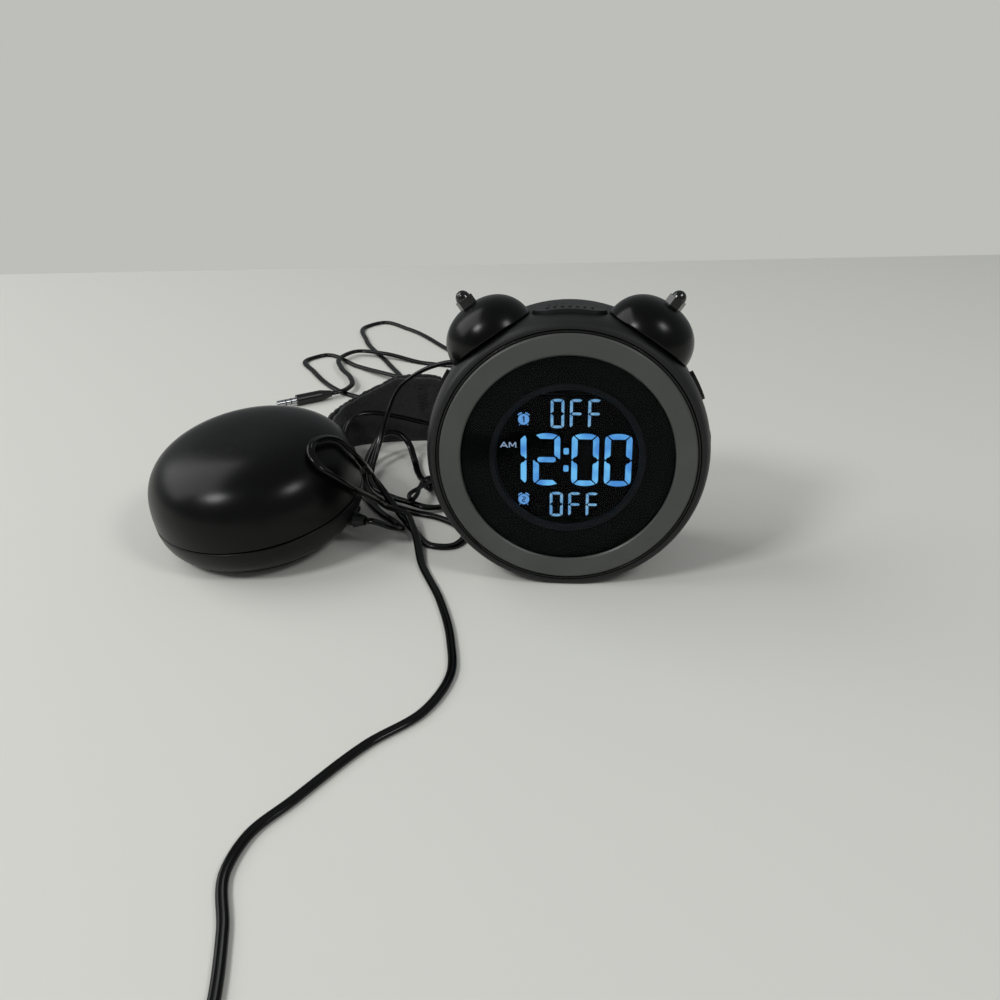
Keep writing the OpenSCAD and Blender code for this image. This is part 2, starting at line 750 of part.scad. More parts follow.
module puck_screws() {
  color("silver") puck_place() for (a = screw_post_angles) rotate(a)
    translate([screw_posts_r, 0, pad_t + 0.9]) {
      cylinder(d = 2*screw_d, h = 1.1);
      cylinder(d = screw_d, h = seam_h - pad_t - 1.4);
    }
}

// Motor on its side on the pan's floor, with its shaft along the puck's own x
pan_floor = pad_t + puck_wall;
motor_z = pan_floor + motor_d/2 + 1.2;
motor_x = -14;
shaft_gap = 0.05;
module motor_axis(x) { translate([x, 0, motor_z]) rotate([0, 90, 0]) children(); }
module puck_motor() {
  color("#b9bdc0") puck_place() difference() {
    union() {
      motor_axis(motor_x - motor_l/2) cylinder(d = motor_d, h = motor_l);
      motor_axis(motor_x + motor_l/2 - e) cylinder(d = 7, h = 1.8);
    }
    motor_axis(motor_x + motor_l/2 - 8) cylinder(d = shaft_d + 2*shaft_gap, h = 20);
  }
}

clamp_w = 14;
clamp_t = 1.6;
module at_clamp_screws() {
  for (s = [-1, 1]) translate([motor_x, s*(motor_d/2 + 5.4), pan_floor - 1.2]) children();
}

module motor_clamp() {
  color("#7f8487") puck_place() difference() {
    union() {
      motor_axis(motor_x - clamp_w/2) cylinder(d = motor_d + 2*clamp_t + 0.1, h = clamp_w);
      translate([motor_x - clamp_w/2, -motor_d/2 - 9, pan_floor]) cube([clamp_w, motor_d + 18, 2.4]);
      translate([motor_x - clamp_w/2, -motor_d/2 - clamp_t, pan_floor])
        cube([clamp_w, motor_d + 2*clamp_t, motor_z - pan_floor]);
    }
    motor_axis(motor_x - clamp_w) cylinder(d = motor_d + 0.1, h = 2*clamp_w);
    at_clamp_screws() cylinder(d = screw_d + 0.3, h = 20);
    translate([-puck_r, -puck_r, -10]) cube([2*puck_r, 2*puck_r, 10 + pan_floor]);
  }
}
module clamp_screws() {
  color("silver") puck_place() at_clamp_screws() {
    cylinder(d = screw_d, h = 4);
    translate([0, 0, 3.6]) cylinder(d = 2*screw_d, h = 1.4);
  }
}

weight_x = motor_x + motor_l/2 + 3;
weight_l = 12;
module motor_shaft() {
  color("silver") puck_place()
    motor_axis(motor_x + motor_l/2 - 7.5) cylinder(d = shaft_d, h = 9.3 + weight_l + 2);
}
module eccentric_weight() {
  color("#c08a3e") puck_place() difference() {
    motor_axis(weight_x) union() {
      intersection() {
        cylinder(r = weight_r, h = weight_l);
        translate([-30, -weight_r, 0]) cube([30, 2*weight_r, weight_l]);
      }
      cylinder(d = 6, h = weight_l);
    }
    motor_axis(weight_x - 1) cylinder(d = shaft_d, h = weight_l + 2);
  }
}

// Cord relief low on the puck's right side
relief_angle = -14;
relief_z = 6;
relief_r = 2.6;
relief_x = 37;
relief_l = 9.5;
module puck_cord_relief() {
  color("#0e0e0f") puck_place() rotate(relief_angle) translate([relief_x, 0, relief_z])
    rotate([0, 90, 0]) {
      cylinder(r = relief_r, h = 5);
      translate([0, 0, 5 - e]) cylinder(r1 = relief_r + 0.6, r2 = 1.9, h = relief_l - 5);
    }
}

// Strap: layers folded under the puck's raised side, then a long loop on its edge
strap_gap = 3;
strap_path = [[-111, 57], [-113, 70], [-113.5, 84], [-111, 92], [-104, 97], [-94, 100],
              [-84, 102], [-72, 103.4], [-60, 104]];
function left(t) = [-t[1], t[0]];
function longer(p, t) = concat([p[0] - heading(p, 0)*t], p,
                               [p[len(p) - 1] + heading(p, len(p) - 1)*t]);
module band(p, w) {
  n = len(p) - 1;
  polygon(concat([for (i = [0:n]) p[i] + left(heading(p, i))*w/2],
                 [for (i = [0:n]) p[n - i] - left(heading(p, n - i))*w/2]));
}

// The loop's top edge slopes down towards the puck
strap_low = 20;
slope_x = -84;
module strap_slope() {
  x0 = strap_path[0][0] - 12;
  translate([0, 2*case_d, 0]) rotate([90, 0, 0]) linear_extrude(3*case_d)
    polygon([[slope_x, strap_w], [x0, strap_low - 4], [x0, 2*strap_w], [slope_x, 2*strap_w]]);
}

// The fold's inner end carries the puck's pad, so its place follows from the tilt
fold_layers = 3;
slope = [tan(tilt_side), tan(tilt_back)/cos(tilt_side)];
fold_in = (fold_layers*strap_t - puck_lift)/norm(slope) + 0.2;
fold_l = 22;
flat_from = [-108, 38];
module strap_fold() {
  translate([-puck_left, puck_back, 0]) rotate(atan2(slope[1], slope[0]))
    translate([fold_in, -strap_w/2, 0]) cube([fold_l, strap_w, fold_layers*strap_t]);
}
module puck_strap() {
  color("#0c0c0d") difference() {
    union() {
      linear_extrude(strap_w) band(longer(strap_path, strap_t), 2*strap_t + strap_gap);
      linear_extrude(strap_t) band([flat_from, strap_path[0]], 2*strap_t + strap_gap - 0.4);
      strap_fold();
    }
    translate([0, 0, -1]) linear_extrude(strap_w + 2) band(strap_path, strap_gap);
    strap_slope();
  }
}

// Cord routes, end to end, as chosen points; the tubes follow them
shaker_route = [
  [-80.4, -0.7, 12.1], [-76.5, -1.7, 12.3], [-70.5, -1, 9.5], [-67.5, 6, 4.5], [-71, 15, 1],
  [-80, 25, 1], [-88.5, 37, 1], [-97, 50, 1], [-103.5, 61, 4.5], [-105.6, 71, 12],
  [-105.5, 79, 17.2], [-101.7, 86, 20], [-94.2, 90, 19.5], [-85.1, 91, 17.6], [-75.7, 90, 16],
  [-66.6, 89, 14], [-56, 91, 9.5], [-45, 97, 4], [-34, 107, 1], [-26, 123, 1], [-24, 146, 1],
  [-42, 190, 1], [-76, 234, 1], [-109, 276, 1], [-129, 290, 1], [-139, 280, 1], [-133, 252, 1],
  [-110, 208, 1], [-96, 178, 1], [-94, 160, 1], [-104, 150, 1], [-120, 156, 1], [-154, 195, 1],
  [-163, 213, 1], [-154, 223, 1], [-129, 204, 1], [-100, 181, 3.2], [-78, 172, 1], [-56, 172, 1],
  [-45, 184, 1], [-56, 198, 1], [-91, 211, 1], [-116, 221, 3.2], [-134, 224, 3.2],
  [-141, 212, 3.2], [-136, 194, 3.2], [-127, 178, 3.4], [-124, 167, 3.2], [-127, 159.2, 3],
  [-133, 155, 3]];
power_route = [
  [-29, 49.2, 57.2], [-29, 53.2, 56.8], [-31.5, 61, 56], [-38, 67, 55], [-47, 71, 53.5],
  [-58, 75, 50.5], [-69, 78, 45], [-79, 80, 36], [-85, 79, 24], [-89, 74, 12], [-91, 65, 5],
  [-90, 54, 3.4], [-86, 44, 3.2], [-78, 36, 3.2], [-68, 30.5, 3.2], [-59.5, 27.5, 2.6],
  [-53.7, 29.8, 1.8], [-51.3, 33.5, 1.5], [-50.9, 36.9, 1.5], [-53, 41.5, 1.6], [-58.3, 44.5, 3.2],
  [-61.5, 47.5, 3.6], [-64.7, 51, 3.4], [-69, 61, 2], [-73, 74, 3], [-77, 81, 8.8],
  [-81.1, 82.2, 12.2], [-84.6, 82, 13], [-88.9, 80.7, 12.2], [-92.5, 77, 8], [-95, 69, 3.5],
  [-94.8, 60, 1], [-92.3, 51, 1], [-88.5, 43, 1], [-82, 35.5, 1], [-74, 30, 1], [-66, 26, 1],
  [-55, 22, 1], [-46, 15.5, 1], [-41.5, 7, 1], [-45.3, -0.6, 1], [-54.3, -0.8, 1], [-62.5, 9.5, 1],
  [-69, 18.5, 2.6], [-75, 26, 5.4], [-79, 30, 9], [-83.3, 30.5, 16], [-83.4, 21.6, 24.4],
  [-83.1, 14.8, 30.2], [-83.9, 12.2, 33.9], [-86.3, 10, 38.7], [-89.6, 9.8, 42.4], [-94, 5, 46],
  [-97.7, -2, 46.3], [-96.7, -7, 44.1], [-93, -9.8, 40.8], [-88, -8, 35.5], [-83.9, -2.3, 28.1],
  [-79, 9, 17], [-75.1, 16.3, 9], [-67.9, 16.9, 6], [-63, 8, 4], [-56, -15, 1], [-46, -38, 1],
  [-39, -62, 1], [-37, -80, 1], [-43, -97, 1], [-58, -112, 1], [-74, -134, 1], [-83, -147, 1],
  [-85, -158, 1], [-80, -174, 1], [-76, -191, 1], [-74, -214, 2.4]];
tail_route = [[-56, -248, 2], [-46, -250, 2.5], [-36, -250, 4]];

// A tube of eight sides along points, wider than it is high, with its flat side level
function unit(v) = v/norm(v);
function heading(p, i) = unit(p[min(i + 1, len(p) - 1)] - p[max(i - 1, 0)]);
function across_of(t) = unit(cross(t, abs(t[2]) > 0.95 ? [1, 0, 0] : [0, 0, 1]));
tube_sides = 8;
function tube_ring(c, t) = let (a = across_of(t), u = cross(a, t))
  [for (k = [0:tube_sides - 1]) let (w = 360*(k + 0.5)/tube_sides)
    c + a*cos(w)*cord_w/2 + u*sin(w)*cord_t/2];
module tube(p) {
  n = len(p);
  rings = [for (i = [0:n - 1]) each tube_ring(p[i], heading(p, i))];
  sides = [for (i = [0:n - 2]) for (k = [0:tube_sides - 1])
    let (a = i*tube_sides + k, b = i*tube_sides + (k + 1)%tube_sides)
      each [[a, b, a + tube_sides], [b, b + tube_sides, a + tube_sides]]];
  ends = [[for (k = [0:tube_sides - 1]) tube_sides - 1 - k],
          [for (k = [0:tube_sides - 1]) (n - 1)*tube_sides + k]];
  polyhedron(rings, concat(sides, ends));
}

module shaker_cord() { color("#0d0d0e") tube(shaker_route); }
module power_cord() {
  color("#0d0d0e") {
    tube(power_route);
    tube(tail_route);
  }
}

// Plug at the shaker cord's free end, lying behind the puck
plug_at = [-133, 155, 3];
plug_turn = 212;
plug_r = 3;
module shaker_plug() {
  color("#101011") translate(plug_at) rotate(plug_turn) rotate([0, 90, 0]) {
    cylinder(r1 = 1.7, r2 = plug_r, h = 6);
    translate([0, 0, 6 - e]) cylinder(r = plug_r, h = 14);
    translate([0, 0, 20 - 2*e]) cylinder(r = socket_r - 0.05, h = 11);
  }
}

// Wire tie: a ring of turns round one strand, and its twisted tail across the hank
tie_at = [-61.5, 47.5, 3.6];
tie_turn = 137;
tail_end = [-66.5, 29.5, 6.4];
module rod(a, b, r) {
  d = b - a;
  translate(a) rotate([0, acos(d[2]/norm(d)), atan2(d[1], d[0])]) cylinder(r = r, h = norm(d));
}
module hank_tie() {
  color("#0c0c0d") {
    translate(tie_at) rotate(tie_turn) rotate([0, 90, 0]) difference() {
      cylinder(r = 3.4, h = 4.4, center = true);
      cylinder(r = 2, h = 5, center = true);
    }
    for (s = [-1, 1]) rod(tie_at + [1.2*s, 1.2*s, 2.6], tail_end + [1.3*s, 0, 0], 1.1);
  }
}

// Coil of spare power cord with its tie, and the plug on its end
coil_at = [-56, -226];
coil_tie_t = 0.7;
module at_coil() { translate([coil_at[0], coil_at[1], coil_h/2 + coil_tie_t + 0.1]) children(); }
module power_coil() {
  color("#0e0e0f") at_coil() rotate_extrude() translate([coil_r, 0]) intersection() {
    square([coil_w, coil_h], center = true);
    circle(d = coil_w*1.16);
  }
}
module coil_tie() {
  w = coil_w + 0.2;
  h = coil_h + 0.2;
  color("#191919") at_coil() translate([coil_r, 0, 0]) rotate([90, 0, 0])
    linear_extrude(3, center = true) difference() {
      square([w + 2*coil_tie_t, h + 2*coil_tie_t - 0.2], center = true);
      square([w, h], center = true);
    }
}

usb_l = 22;
usb_shell = [12, 4.5];
usb_at = [-36, -250, 4];
module usb_plug() {
  translate(usb_at) {
    color("#121213") translate([0, -6, -3.6]) cube([usb_l, 12, 7.2]);
    color("silver") translate([usb_l, -usb_shell[0]/2, -usb_shell[1]/2])
      cube([12, usb_shell[0], usb_shell[1]]);
  }
}

// Barrel plug in the power jack, with its tapered strain relief
module power_plug() {
  color("#0f0f10") leaning() translate([jack_x, 0, jack_z]) {
    disc(0, 0, 5, case_depth + 0.2, case_depth + 12);
    translate([0, case_depth + 12 - e, 0]) rotate([-90, 0, 0]) cylinder(r1 = 4, r2 = 1.9, h = 10);
    difference() {
      disc(0, 0, 2.75, cover_y - 8, case_depth + 0.3);
      disc(0, 0, 1.05, cover_y - 9, cover_y - 0.5);
    }
  }
}

case_shell();
front_bezel();
light_ring();
display_lens();
display_carrier();
display_frame();
lcd_panel();
time_digits();
backlight();
led_board();
ring_leds();
main_board();
board_chips();
board_screws();
button_switches();
snooze_button();
right_upper_button();
right_lower_button();
left_upper_button();
left_lower_button();
left_bell();
right_bell();
bell_studs();
cap_nuts();
rubber_foot();
rear_cover();
cover_screws();
speaker_frame();
speaker_cone();
speaker_magnet();
speaker_lead();
jack_board();
power_jack();
shaker_jack();
volume_switch();
dimmer_switch();
battery_holder();
coin_cell();
battery_door();
puck_upper_shell();
puck_lower_shell();
puck_base_pad();
puck_motor();
motor_clamp();
clamp_screws();
motor_shaft();
eccentric_weight();
puck_screws();
puck_cord_relief();
puck_strap();
shaker_cord();
shaker_plug();
hank_tie();
power_cord();
power_coil();
coil_tie();
power_plug();
usb_plug();
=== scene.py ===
"""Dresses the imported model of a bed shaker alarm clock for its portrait.

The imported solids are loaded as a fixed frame. Rigid solids keep their own meshes
and get procedural finishes; the cords, the strap, the wire tie, the domed shells
and the lit figures are built here as finer surfaces that stand for their solids.
Sizes are in millimetres, as in the part's source, unless a comment says metres;
they become metres where a mesh, a lamp or a shader takes them.
"""

from __future__ import annotations

import logging
import math
from dataclasses import dataclass
from enum import Enum
from typing import Any, Sequence

import bpy
import numpy as np
from mathutils import Matrix

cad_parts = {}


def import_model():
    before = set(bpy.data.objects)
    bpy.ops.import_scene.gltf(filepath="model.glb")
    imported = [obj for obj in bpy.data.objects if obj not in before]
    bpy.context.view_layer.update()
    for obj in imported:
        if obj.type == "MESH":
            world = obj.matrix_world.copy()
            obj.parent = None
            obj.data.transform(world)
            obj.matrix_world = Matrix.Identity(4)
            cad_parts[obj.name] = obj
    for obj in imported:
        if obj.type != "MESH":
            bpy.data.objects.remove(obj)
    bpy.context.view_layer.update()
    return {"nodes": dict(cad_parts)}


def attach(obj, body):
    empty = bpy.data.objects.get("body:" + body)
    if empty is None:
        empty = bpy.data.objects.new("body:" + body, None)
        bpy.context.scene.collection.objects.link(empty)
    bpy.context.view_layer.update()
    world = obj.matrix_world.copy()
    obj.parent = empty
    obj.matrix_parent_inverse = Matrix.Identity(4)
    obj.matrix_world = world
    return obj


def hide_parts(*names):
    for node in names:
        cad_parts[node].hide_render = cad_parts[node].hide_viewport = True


LOG = logging.getLogger("bed_shaker_clock")
MM = 0.001
LEAN = math.radians(6.1)
CLOCK_FRONT = np.array([0.0, -20.0, 49.5])
ROOT = "clock_and_puck"
ANGLES = 144
Triple = tuple[float, float, float]


class Slot(Enum):
    """Names of material slots that are passed along with the new pieces."""

    DIGITS = "digits"
    CORD = "cord"
    STRAP = "strap"
    PUCK = "puck"
    PUCK_BASE = "puck_base"
    BELL = "bell"


# ---------------------------------------------------------------- numbers to meshes


def linear(code: str) -> tuple[float, float, float, float]:
    """Turns an sRGB hex colour into the linear colour that shaders take.

    Args:
        code: Colour as "#rrggbb".

    Returns:
        Linear red, green and blue, and an alpha of 1.
    """
    parts = np.array([int(code[i : i + 2], 16) for i in (1, 3, 5)]) / 255.0
    low, high = parts / 12.92, ((parts + 0.055) / 1.055) ** 2.4
    red, green, blue = np.where(parts <= 0.04045, low, high)
    return float(red), float(green), float(blue), 1.0


def clock_points(x: Any, depth: Any, height: Any) -> np.ndarray:
    """Places points given on the leaning clock into the frame.

    The clock's axes are turned about X by the lean, so that a point at (x, d, h)
    lies at front + x X + d (cos, -sin) + h (sin, cos) in the Y and Z directions.

    Args:
        x: Distance to the right of the clock's axis.
        depth: Distance behind the front edge of the case.
        height: Distance above the axis.

    Returns:
        Points, with a last axis of three.
    """
    x, depth, height = np.broadcast_arrays(x, depth, height)
    cos, sin = math.cos(LEAN), math.sin(LEAN)
    turned = [x, depth * cos + height * sin, height * cos - depth * sin]
    return CLOCK_FRONT + np.stack(turned, axis=-1)


@dataclass
class Patch:
    """A piece of surface.

    Attributes:
        points: Array of shape (n, 3).
        faces: Lists of point numbers, three or four a face, facing outwards.
        marks: Array of shape (n, 2): the place along and round the surface.
    """

    points: np.ndarray
    faces: list[list[int]]
    marks: np.ndarray

    @staticmethod
    def joined(patches: Sequence["Patch"]) -> "Patch":
        """Joins patches into one, which keeps them as separate shells."""
        starts = np.cumsum([0] + [len(p.points) for p in patches[:-1]])
        faces = [
            [int(start) + i for i in face]
            for start, patch in zip(starts, patches)
            for face in patch.faces
        ]
        points = np.concatenate([p.points for p in patches])
        return Patch(points, faces, np.concatenate([p.marks for p in patches]))

    def body(
        self, name: str, material: bpy.types.Material, smooth: bool = True
    ) -> bpy.types.Object:
        """Puts the patch into a Blender object at the origin.

        Args:
            name: The object's name.
            material: Its finish.
            smooth: Whether its faces are shaded smoothly.

        Returns:
            The new object, linked to the scene.
        """
        mesh = bpy.data.meshes.new(name)
        mesh.from_pydata((self.points * MM).tolist(), [], self.faces)
        corners = np.empty(len(mesh.loops), dtype=np.int64)
        mesh.loops.foreach_get("vertex_index", corners)
        layer = mesh.uv_layers.new(name="surface")
        layer.data.foreach_set("uv", (self.marks * MM)[corners].ravel())
        mesh.polygons.foreach_set("use_smooth", [smooth] * len(mesh.polygons))
        mesh.materials.append(material)
        mesh.update()
        obj = bpy.data.objects.new(name, mesh)
        bpy.context.scene.collection.objects.link(obj)
        return obj

    def piece(
        self,
        name: str,
        material: bpy.types.Material,
        slot: Slot,
        *replaced: str,
        smooth: bool = True,
    ) -> bpy.types.Object:
        """Puts the patch into a piece that rides on the root body.

        Args:
            name: The piece's name.
            material: Its finish.
            slot: A material slot name; not used.
            replaced: Solids that it stands for.
            smooth: Whether its faces are shaded smoothly.

        Returns:
            The piece.
        """
        piece = self.body(name, material, smooth)
        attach(piece, ROOT)
        if replaced:
            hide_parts(*replaced)
        LOG.info("%s: %d faces", name, len(self.faces))
        return piece


def net(
    points: np.ndarray,
    marks: np.ndarray,
    ring: bool = True,
    loop: bool = False,
) -> Patch:
    """Makes a surface from a grid of points, one row after another.

    The faces look out of a tube whose rows run anticlockwise round its path.

    Args:
        points: Array of shape (rows, columns, 3).
        marks: Array of shape (rows, columns, 2).
        ring: Whether the last column meets the first.
        loop: Whether the last row meets the first; otherwise open rows of a
            ring are closed by a fan round their middle.

    Returns:
        The surface, which is closed if it is a ring.
    """
    rows, columns = points.shape[:2]
    across = np.arange(columns if ring else columns - 1)
    along = np.arange(rows if loop else rows - 1)
    a, c = np.meshgrid(along, across, indexing="ij")
    b, d = (a + 1) % rows * columns, (c + 1) % columns
    a = a * columns
    faces = np.stack([b + c, b + d, a + d, a + c], -1).reshape(-1, 4).tolist()
    flat, places = points.reshape(-1, 3), marks.reshape(-1, 2)
    if ring and not loop:
        after, base = (across + 1) % columns, (rows - 1) * columns
        first = np.full_like(across, len(flat))
        faces += np.stack([first, across, after], -1).tolist()
        faces += np.stack([first + 1, base + after, base + across], -1).tolist()
        flat = np.concatenate([flat, points[[0, -1]].mean(axis=1)])
        places = np.concatenate([places, marks[[0, -1]].mean(axis=1)])
    return Patch(flat, faces, places)


def unit(vectors: np.ndarray) -> np.ndarray:
    """Scales vectors along the last axis to a length of one."""
    return vectors / np.linalg.norm(vectors, axis=-1, keepdims=True)


def lengths(path: np.ndarray) -> np.ndarray:
    """Gives the distance along a path at each of its points."""
    steps = np.linalg.norm(np.diff(path, axis=0), axis=1)
    return np.concatenate([[0.0], np.cumsum(steps)])


def smooth_path(points: Any, step: float) -> np.ndarray:
    """Draws one smooth curve through chosen points.

    A natural Catmull-Rom curve: between two points the cubic has the slopes
    (next - previous) / (their distance), scaled to the stretch's own length.

    Args:
        points: Chosen points, shape (n, 3).
        step: Wanted distance between the curve's points.

    Returns:
        Points about that far apart, with the first and last kept.
    """
    points = np.array(points, dtype=float)
    run = lengths(points)
    slope = np.gradient(points, run, axis=0)
    fine = np.linspace(0.0, run[-1], max(8, int(run[-1] / (step / 4))))
    k = np.clip(np.searchsorted(run, fine, side="right") - 1, 0, len(run) - 2)
    span = (run[k + 1] - run[k])[:, None]
    t = ((fine - run[k]) / span[:, 0])[:, None]
    curve = (
        (1 + 2 * t) * (1 - t) ** 2 * points[k]
        + t * (1 - t) ** 2 * span * slope[k]
        + t**2 * (3 - 2 * t) * points[k + 1]
        + t**2 * (t - 1) * span * slope[k + 1]
    )
    way = lengths(curve)
    even = np.linspace(0.0, way[-1], max(4, int(round(way[-1] / step)) + 1))
    return np.stack([np.interp(even, way, curve[:, i]) for i in range(3)], axis=1)


def swept(
    path: np.ndarray,
    section: np.ndarray,
    across: Any,
    scale: np.ndarray | float = 1.0,
) -> Patch:
    """Carries a closed section along a path.

    Each point is path + scale (section x times across + section y times up),
    where up is the path's direction crossed into across.

    Args:
        path: Points of the path, shape (n, 3).
        section: Section points, anticlockwise, shape (m, 2).
        across: Direction of the section's x, one or one a point.
        scale: Size of the section along the path.

    Returns:
        A closed tube.
    """
    way = lengths(path)
    ahead = unit(np.gradient(path, way, axis=0))
    across = np.broadcast_to(across, path.shape)
    side = unit(across - (across * ahead).sum(1, keepdims=True) * ahead)
    up = np.cross(side, ahead)
    size = np.broadcast_to(np.asarray(scale, dtype=float), (len(path),))[:, None, None]
    points = path[:, None] + size * (
        section[None, :, :1] * side[:, None] + section[None, :, 1:] * up[:, None]
    )
    rim = lengths(np.concatenate([section, section[:1]]))[:-1]
    marks = np.stack(np.broadcast_arrays(way[:, None], rim[None, :]), -1)
    return net(points, marks)


def arc(start: float, end: float, count: int, whole: bool = True) -> np.ndarray:
    """Gives points of the unit circle between two angles in radians."""
    turn = np.linspace(start, end, count, endpoint=whole)
    return np.stack([np.cos(turn), np.sin(turn)], axis=1)


def level_across(path: np.ndarray, reach: int) -> np.ndarray:
    """Finds the direction across a flat cord whose flat side lies level.

    It is up crossed into the path's direction, kept from flipping over where
    the path stands upright, and averaged over the neighbouring points.

    Args:
        path: Points of the path.
        reach: How many neighbours on either side are averaged.

    Returns:
        Directions, one a point.
    """
    ahead = unit(np.gradient(path, lengths(path), axis=0))
    raw = np.cross([0.0, 0.0, 1.0], ahead)
    keep = np.where((raw[1:] * raw[:-1]).sum(1) < 0, -1.0, 1.0)
    raw *= np.concatenate([[1.0], np.cumprod(keep)])[:, None]
    window = np.hanning(2 * reach + 3)[1:-1]
    padded = np.pad(raw, ((reach, reach), (0, 0)), mode="edge")
    return unit(
        np.stack([np.convolve(padded[:, i], window, "valid") for i in range(3)], 1)
    )


# ---------------------------------------------------------------- finishes


def add(
    tree: bpy.types.NodeTree,
    kind: str,
    sockets: dict[Any, Any] | None = None,
    output: int | str = 0,
    **settings: Any,
) -> Any:
    """Adds one node with its settings, constants and links.

    Args:
        tree: Node tree that gets the node.
        kind: Blender's node type, without "ShaderNode".
        sockets: Input name or number, and a value or an output socket for it.
        output: Name or number of the output that is wanted.
        settings: Properties of the node itself.

    Returns:
        The node's output socket, or None where it has none.
    """
    node = tree.nodes.new("ShaderNode" + kind)
    for key, value in settings.items():
        setattr(node, key, value)
    for key, value in (sockets or {}).items():
        if isinstance(value, bpy.types.NodeSocket):
            tree.links.new(value, node.inputs[key])
        else:
            node.inputs[key].default_value = value
    return node.outputs[output] if node.outputs else None


def speckle(
    tree: bpy.types.NodeTree, size: float, detail: float = 2.0, where: Any = None
) -> bpy.types.NodeSocket:
    """Adds noise whose lumps are about this many millimetres across.

    Args:
        tree: Node tree that gets the noise.
        size: Size of the lumps.
        detail: Octaves of finer noise on top.
        where: Socket with the place; the object's coordinates if left out.

    Returns:
        The noise's value.
    """
    where = where or add(tree, "TexCoord", output="Object")
    lumps = {"Vector": where, "Scale": 1.0 / (size * MM), "Detail": detail}
    return add(tree, "TexNoise", lumps, "Fac")


def ranged(
    tree: bpy.types.NodeTree,
    value: bpy.types.NodeSocket,
    low: float = 0.0,
    high: float = 1.0,
    start: float = 0.3,
    end: float = 0.7,
) -> bpy.types.NodeSocket:
    """Maps a value between start and end to a number between low and high."""
    limits = {"From Min": start, "From Max": end, "To Min": low, "To Max": high}
    return add(tree, "MapRange", {"Value": value, **limits}, "Result")


def tinted(
    tree: bpy.types.NodeTree, share: bpy.types.NodeSocket, low: str, high: str
) -> bpy.types.NodeSocket:
    """Blends between two colours by a value from 0 to 1."""
    mixed = {0: share, 6: linear(low), 7: linear(high)}
    return add(tree, "Mix", mixed, 2, data_type="RGBA")


def bumped(
    tree: bpy.types.NodeTree, height: Any, relief: float, **more: Any
) -> bpy.types.NodeSocket:
    """Bends the normal by a height of up to this many millimetres."""
    sockets = {"Height": height, "Distance": relief * MM, "Strength": 1.0, **more}
    return add(tree, "Bump", sockets, "Normal")


@dataclass(frozen=True)
class Finish:
    """A procedural finish with one shader; each kind fills its sockets.

    Attributes:
        name: What the stuff is and how its surface was made.
    """

    name: str

    def sockets(self, tree: bpy.types.NodeTree) -> dict[str, Any]:
        """Gives the shader's inputs as constants and as sockets of new nodes."""
        raise NotImplementedError

    def material(self) -> bpy.types.Material:
        """Builds the material.

        Returns:
            The new material.
        """
        material = bpy.data.materials.new(self.name)
        material.use_nodes = True
        tree = material.node_tree
        tree.nodes.clear()
        shader = add(tree, "BsdfPrincipled", self.sockets(tree))
        add(tree, "OutputMaterial", {"Surface": shader})
        return material


@dataclass(frozen=True)
class Painted(Finish):
    """Plain matt paint of one colour, for what is not part of the object."""

    colour: str
    roughness: float = 0.7

    def sockets(self, tree: bpy.types.NodeTree) -> dict[str, Any]:
        """Fills in the paint."""
        return {"Base Color": linear(self.colour), "Roughness": self.roughness}


@dataclass(frozen=True)
class Moulded(Finish):
    """Moulded, plated or painted stock with a fine grain.

    Attributes:
        dark: Colour in the hollows of its mottling.
        light: Colour on the lighter spots.
        roughness: Middle of its roughness.
        spread: How far the roughness wanders on either side.
        grain: Size of its surface grain.
        relief: Height of the grain.
        mottle: Size of the colour's mottling.
        edge: Radius with which its edges catch the light.
        metal: 1 for bare metal.
        coat: Share of clear gloss on top.
        ior: Index of refraction; a metal keeps the default.
    """

    dark: str
    light: str
    roughness: float
    spread: float = 0.05
    grain: float = 0.35
    relief: float = 0.006
    mottle: float = 14.0
    edge: float = 0.35
    metal: float = 0.0
    coat: float = 0.0
    ior: float = 1.4

    def sockets(self, tree: bpy.types.NodeTree) -> dict[str, Any]:
        """Adds mottled colour, wandering roughness, grain and rounded edges."""
        spots = speckle(tree, self.mottle, 3.0)
        rounded = add(tree, "Bevel", {"Radius": self.edge * MM}, samples=4)
        grain = speckle(tree, self.grain, 1.0)
        low, high = self.roughness - self.spread, self.roughness + self.spread
        return {
            "Base Color": tinted(tree, ranged(tree, spots), self.dark, self.light),
            "Roughness": ranged(tree, spots, low, high),
            "Normal": bumped(tree, grain, self.relief, Normal=rounded),
            "Metallic": self.metal,
            "Coat Weight": self.coat,
            "Coat Roughness": 0.08,
            "IOR": self.ior,
        }


@dataclass(frozen=True)
class Tipped(Finish):
    """Black moulding that ends in bare metal beyond a plane across it.

    Attributes:
        start: Point where the metal starts.
        way: Direction from the moulding to the metal.
        rings: Depths of black rings round the metal.
    """

    start: Triple
    way: Triple
    rings: tuple[float, ...] = ()

    def sockets(self, tree: bpy.types.NodeTree) -> dict[str, Any]:
        """Adds the metal by the depth past the plane."""
        place = add(tree, "TexCoord", output="Object")
        along = {0: place, 1: self.way}
        depth = add(tree, "VectorMath", along, "Value", operation="DOT_PRODUCT")
        start = float(np.dot(self.start, self.way)) * MM
        bare = add(tree, "Math", {0: depth, 1: start}, operation="GREATER_THAN")
        for ring in self.rings:
            span = {0: depth, 1: start + ring * MM, 2: 0.3 * MM}
            band = add(tree, "Math", span, operation="COMPARE")
            bare = add(
                tree, "Math", {0: bare, 1: band}, operation="SUBTRACT", use_clamp=True
            )
        return {
            "Base Color": tinted(tree, bare, "#08080a", "#b4b6ba"),
            "Metallic": bare,
            "Roughness": ranged(tree, bare, 0.36, 0.24),
        }


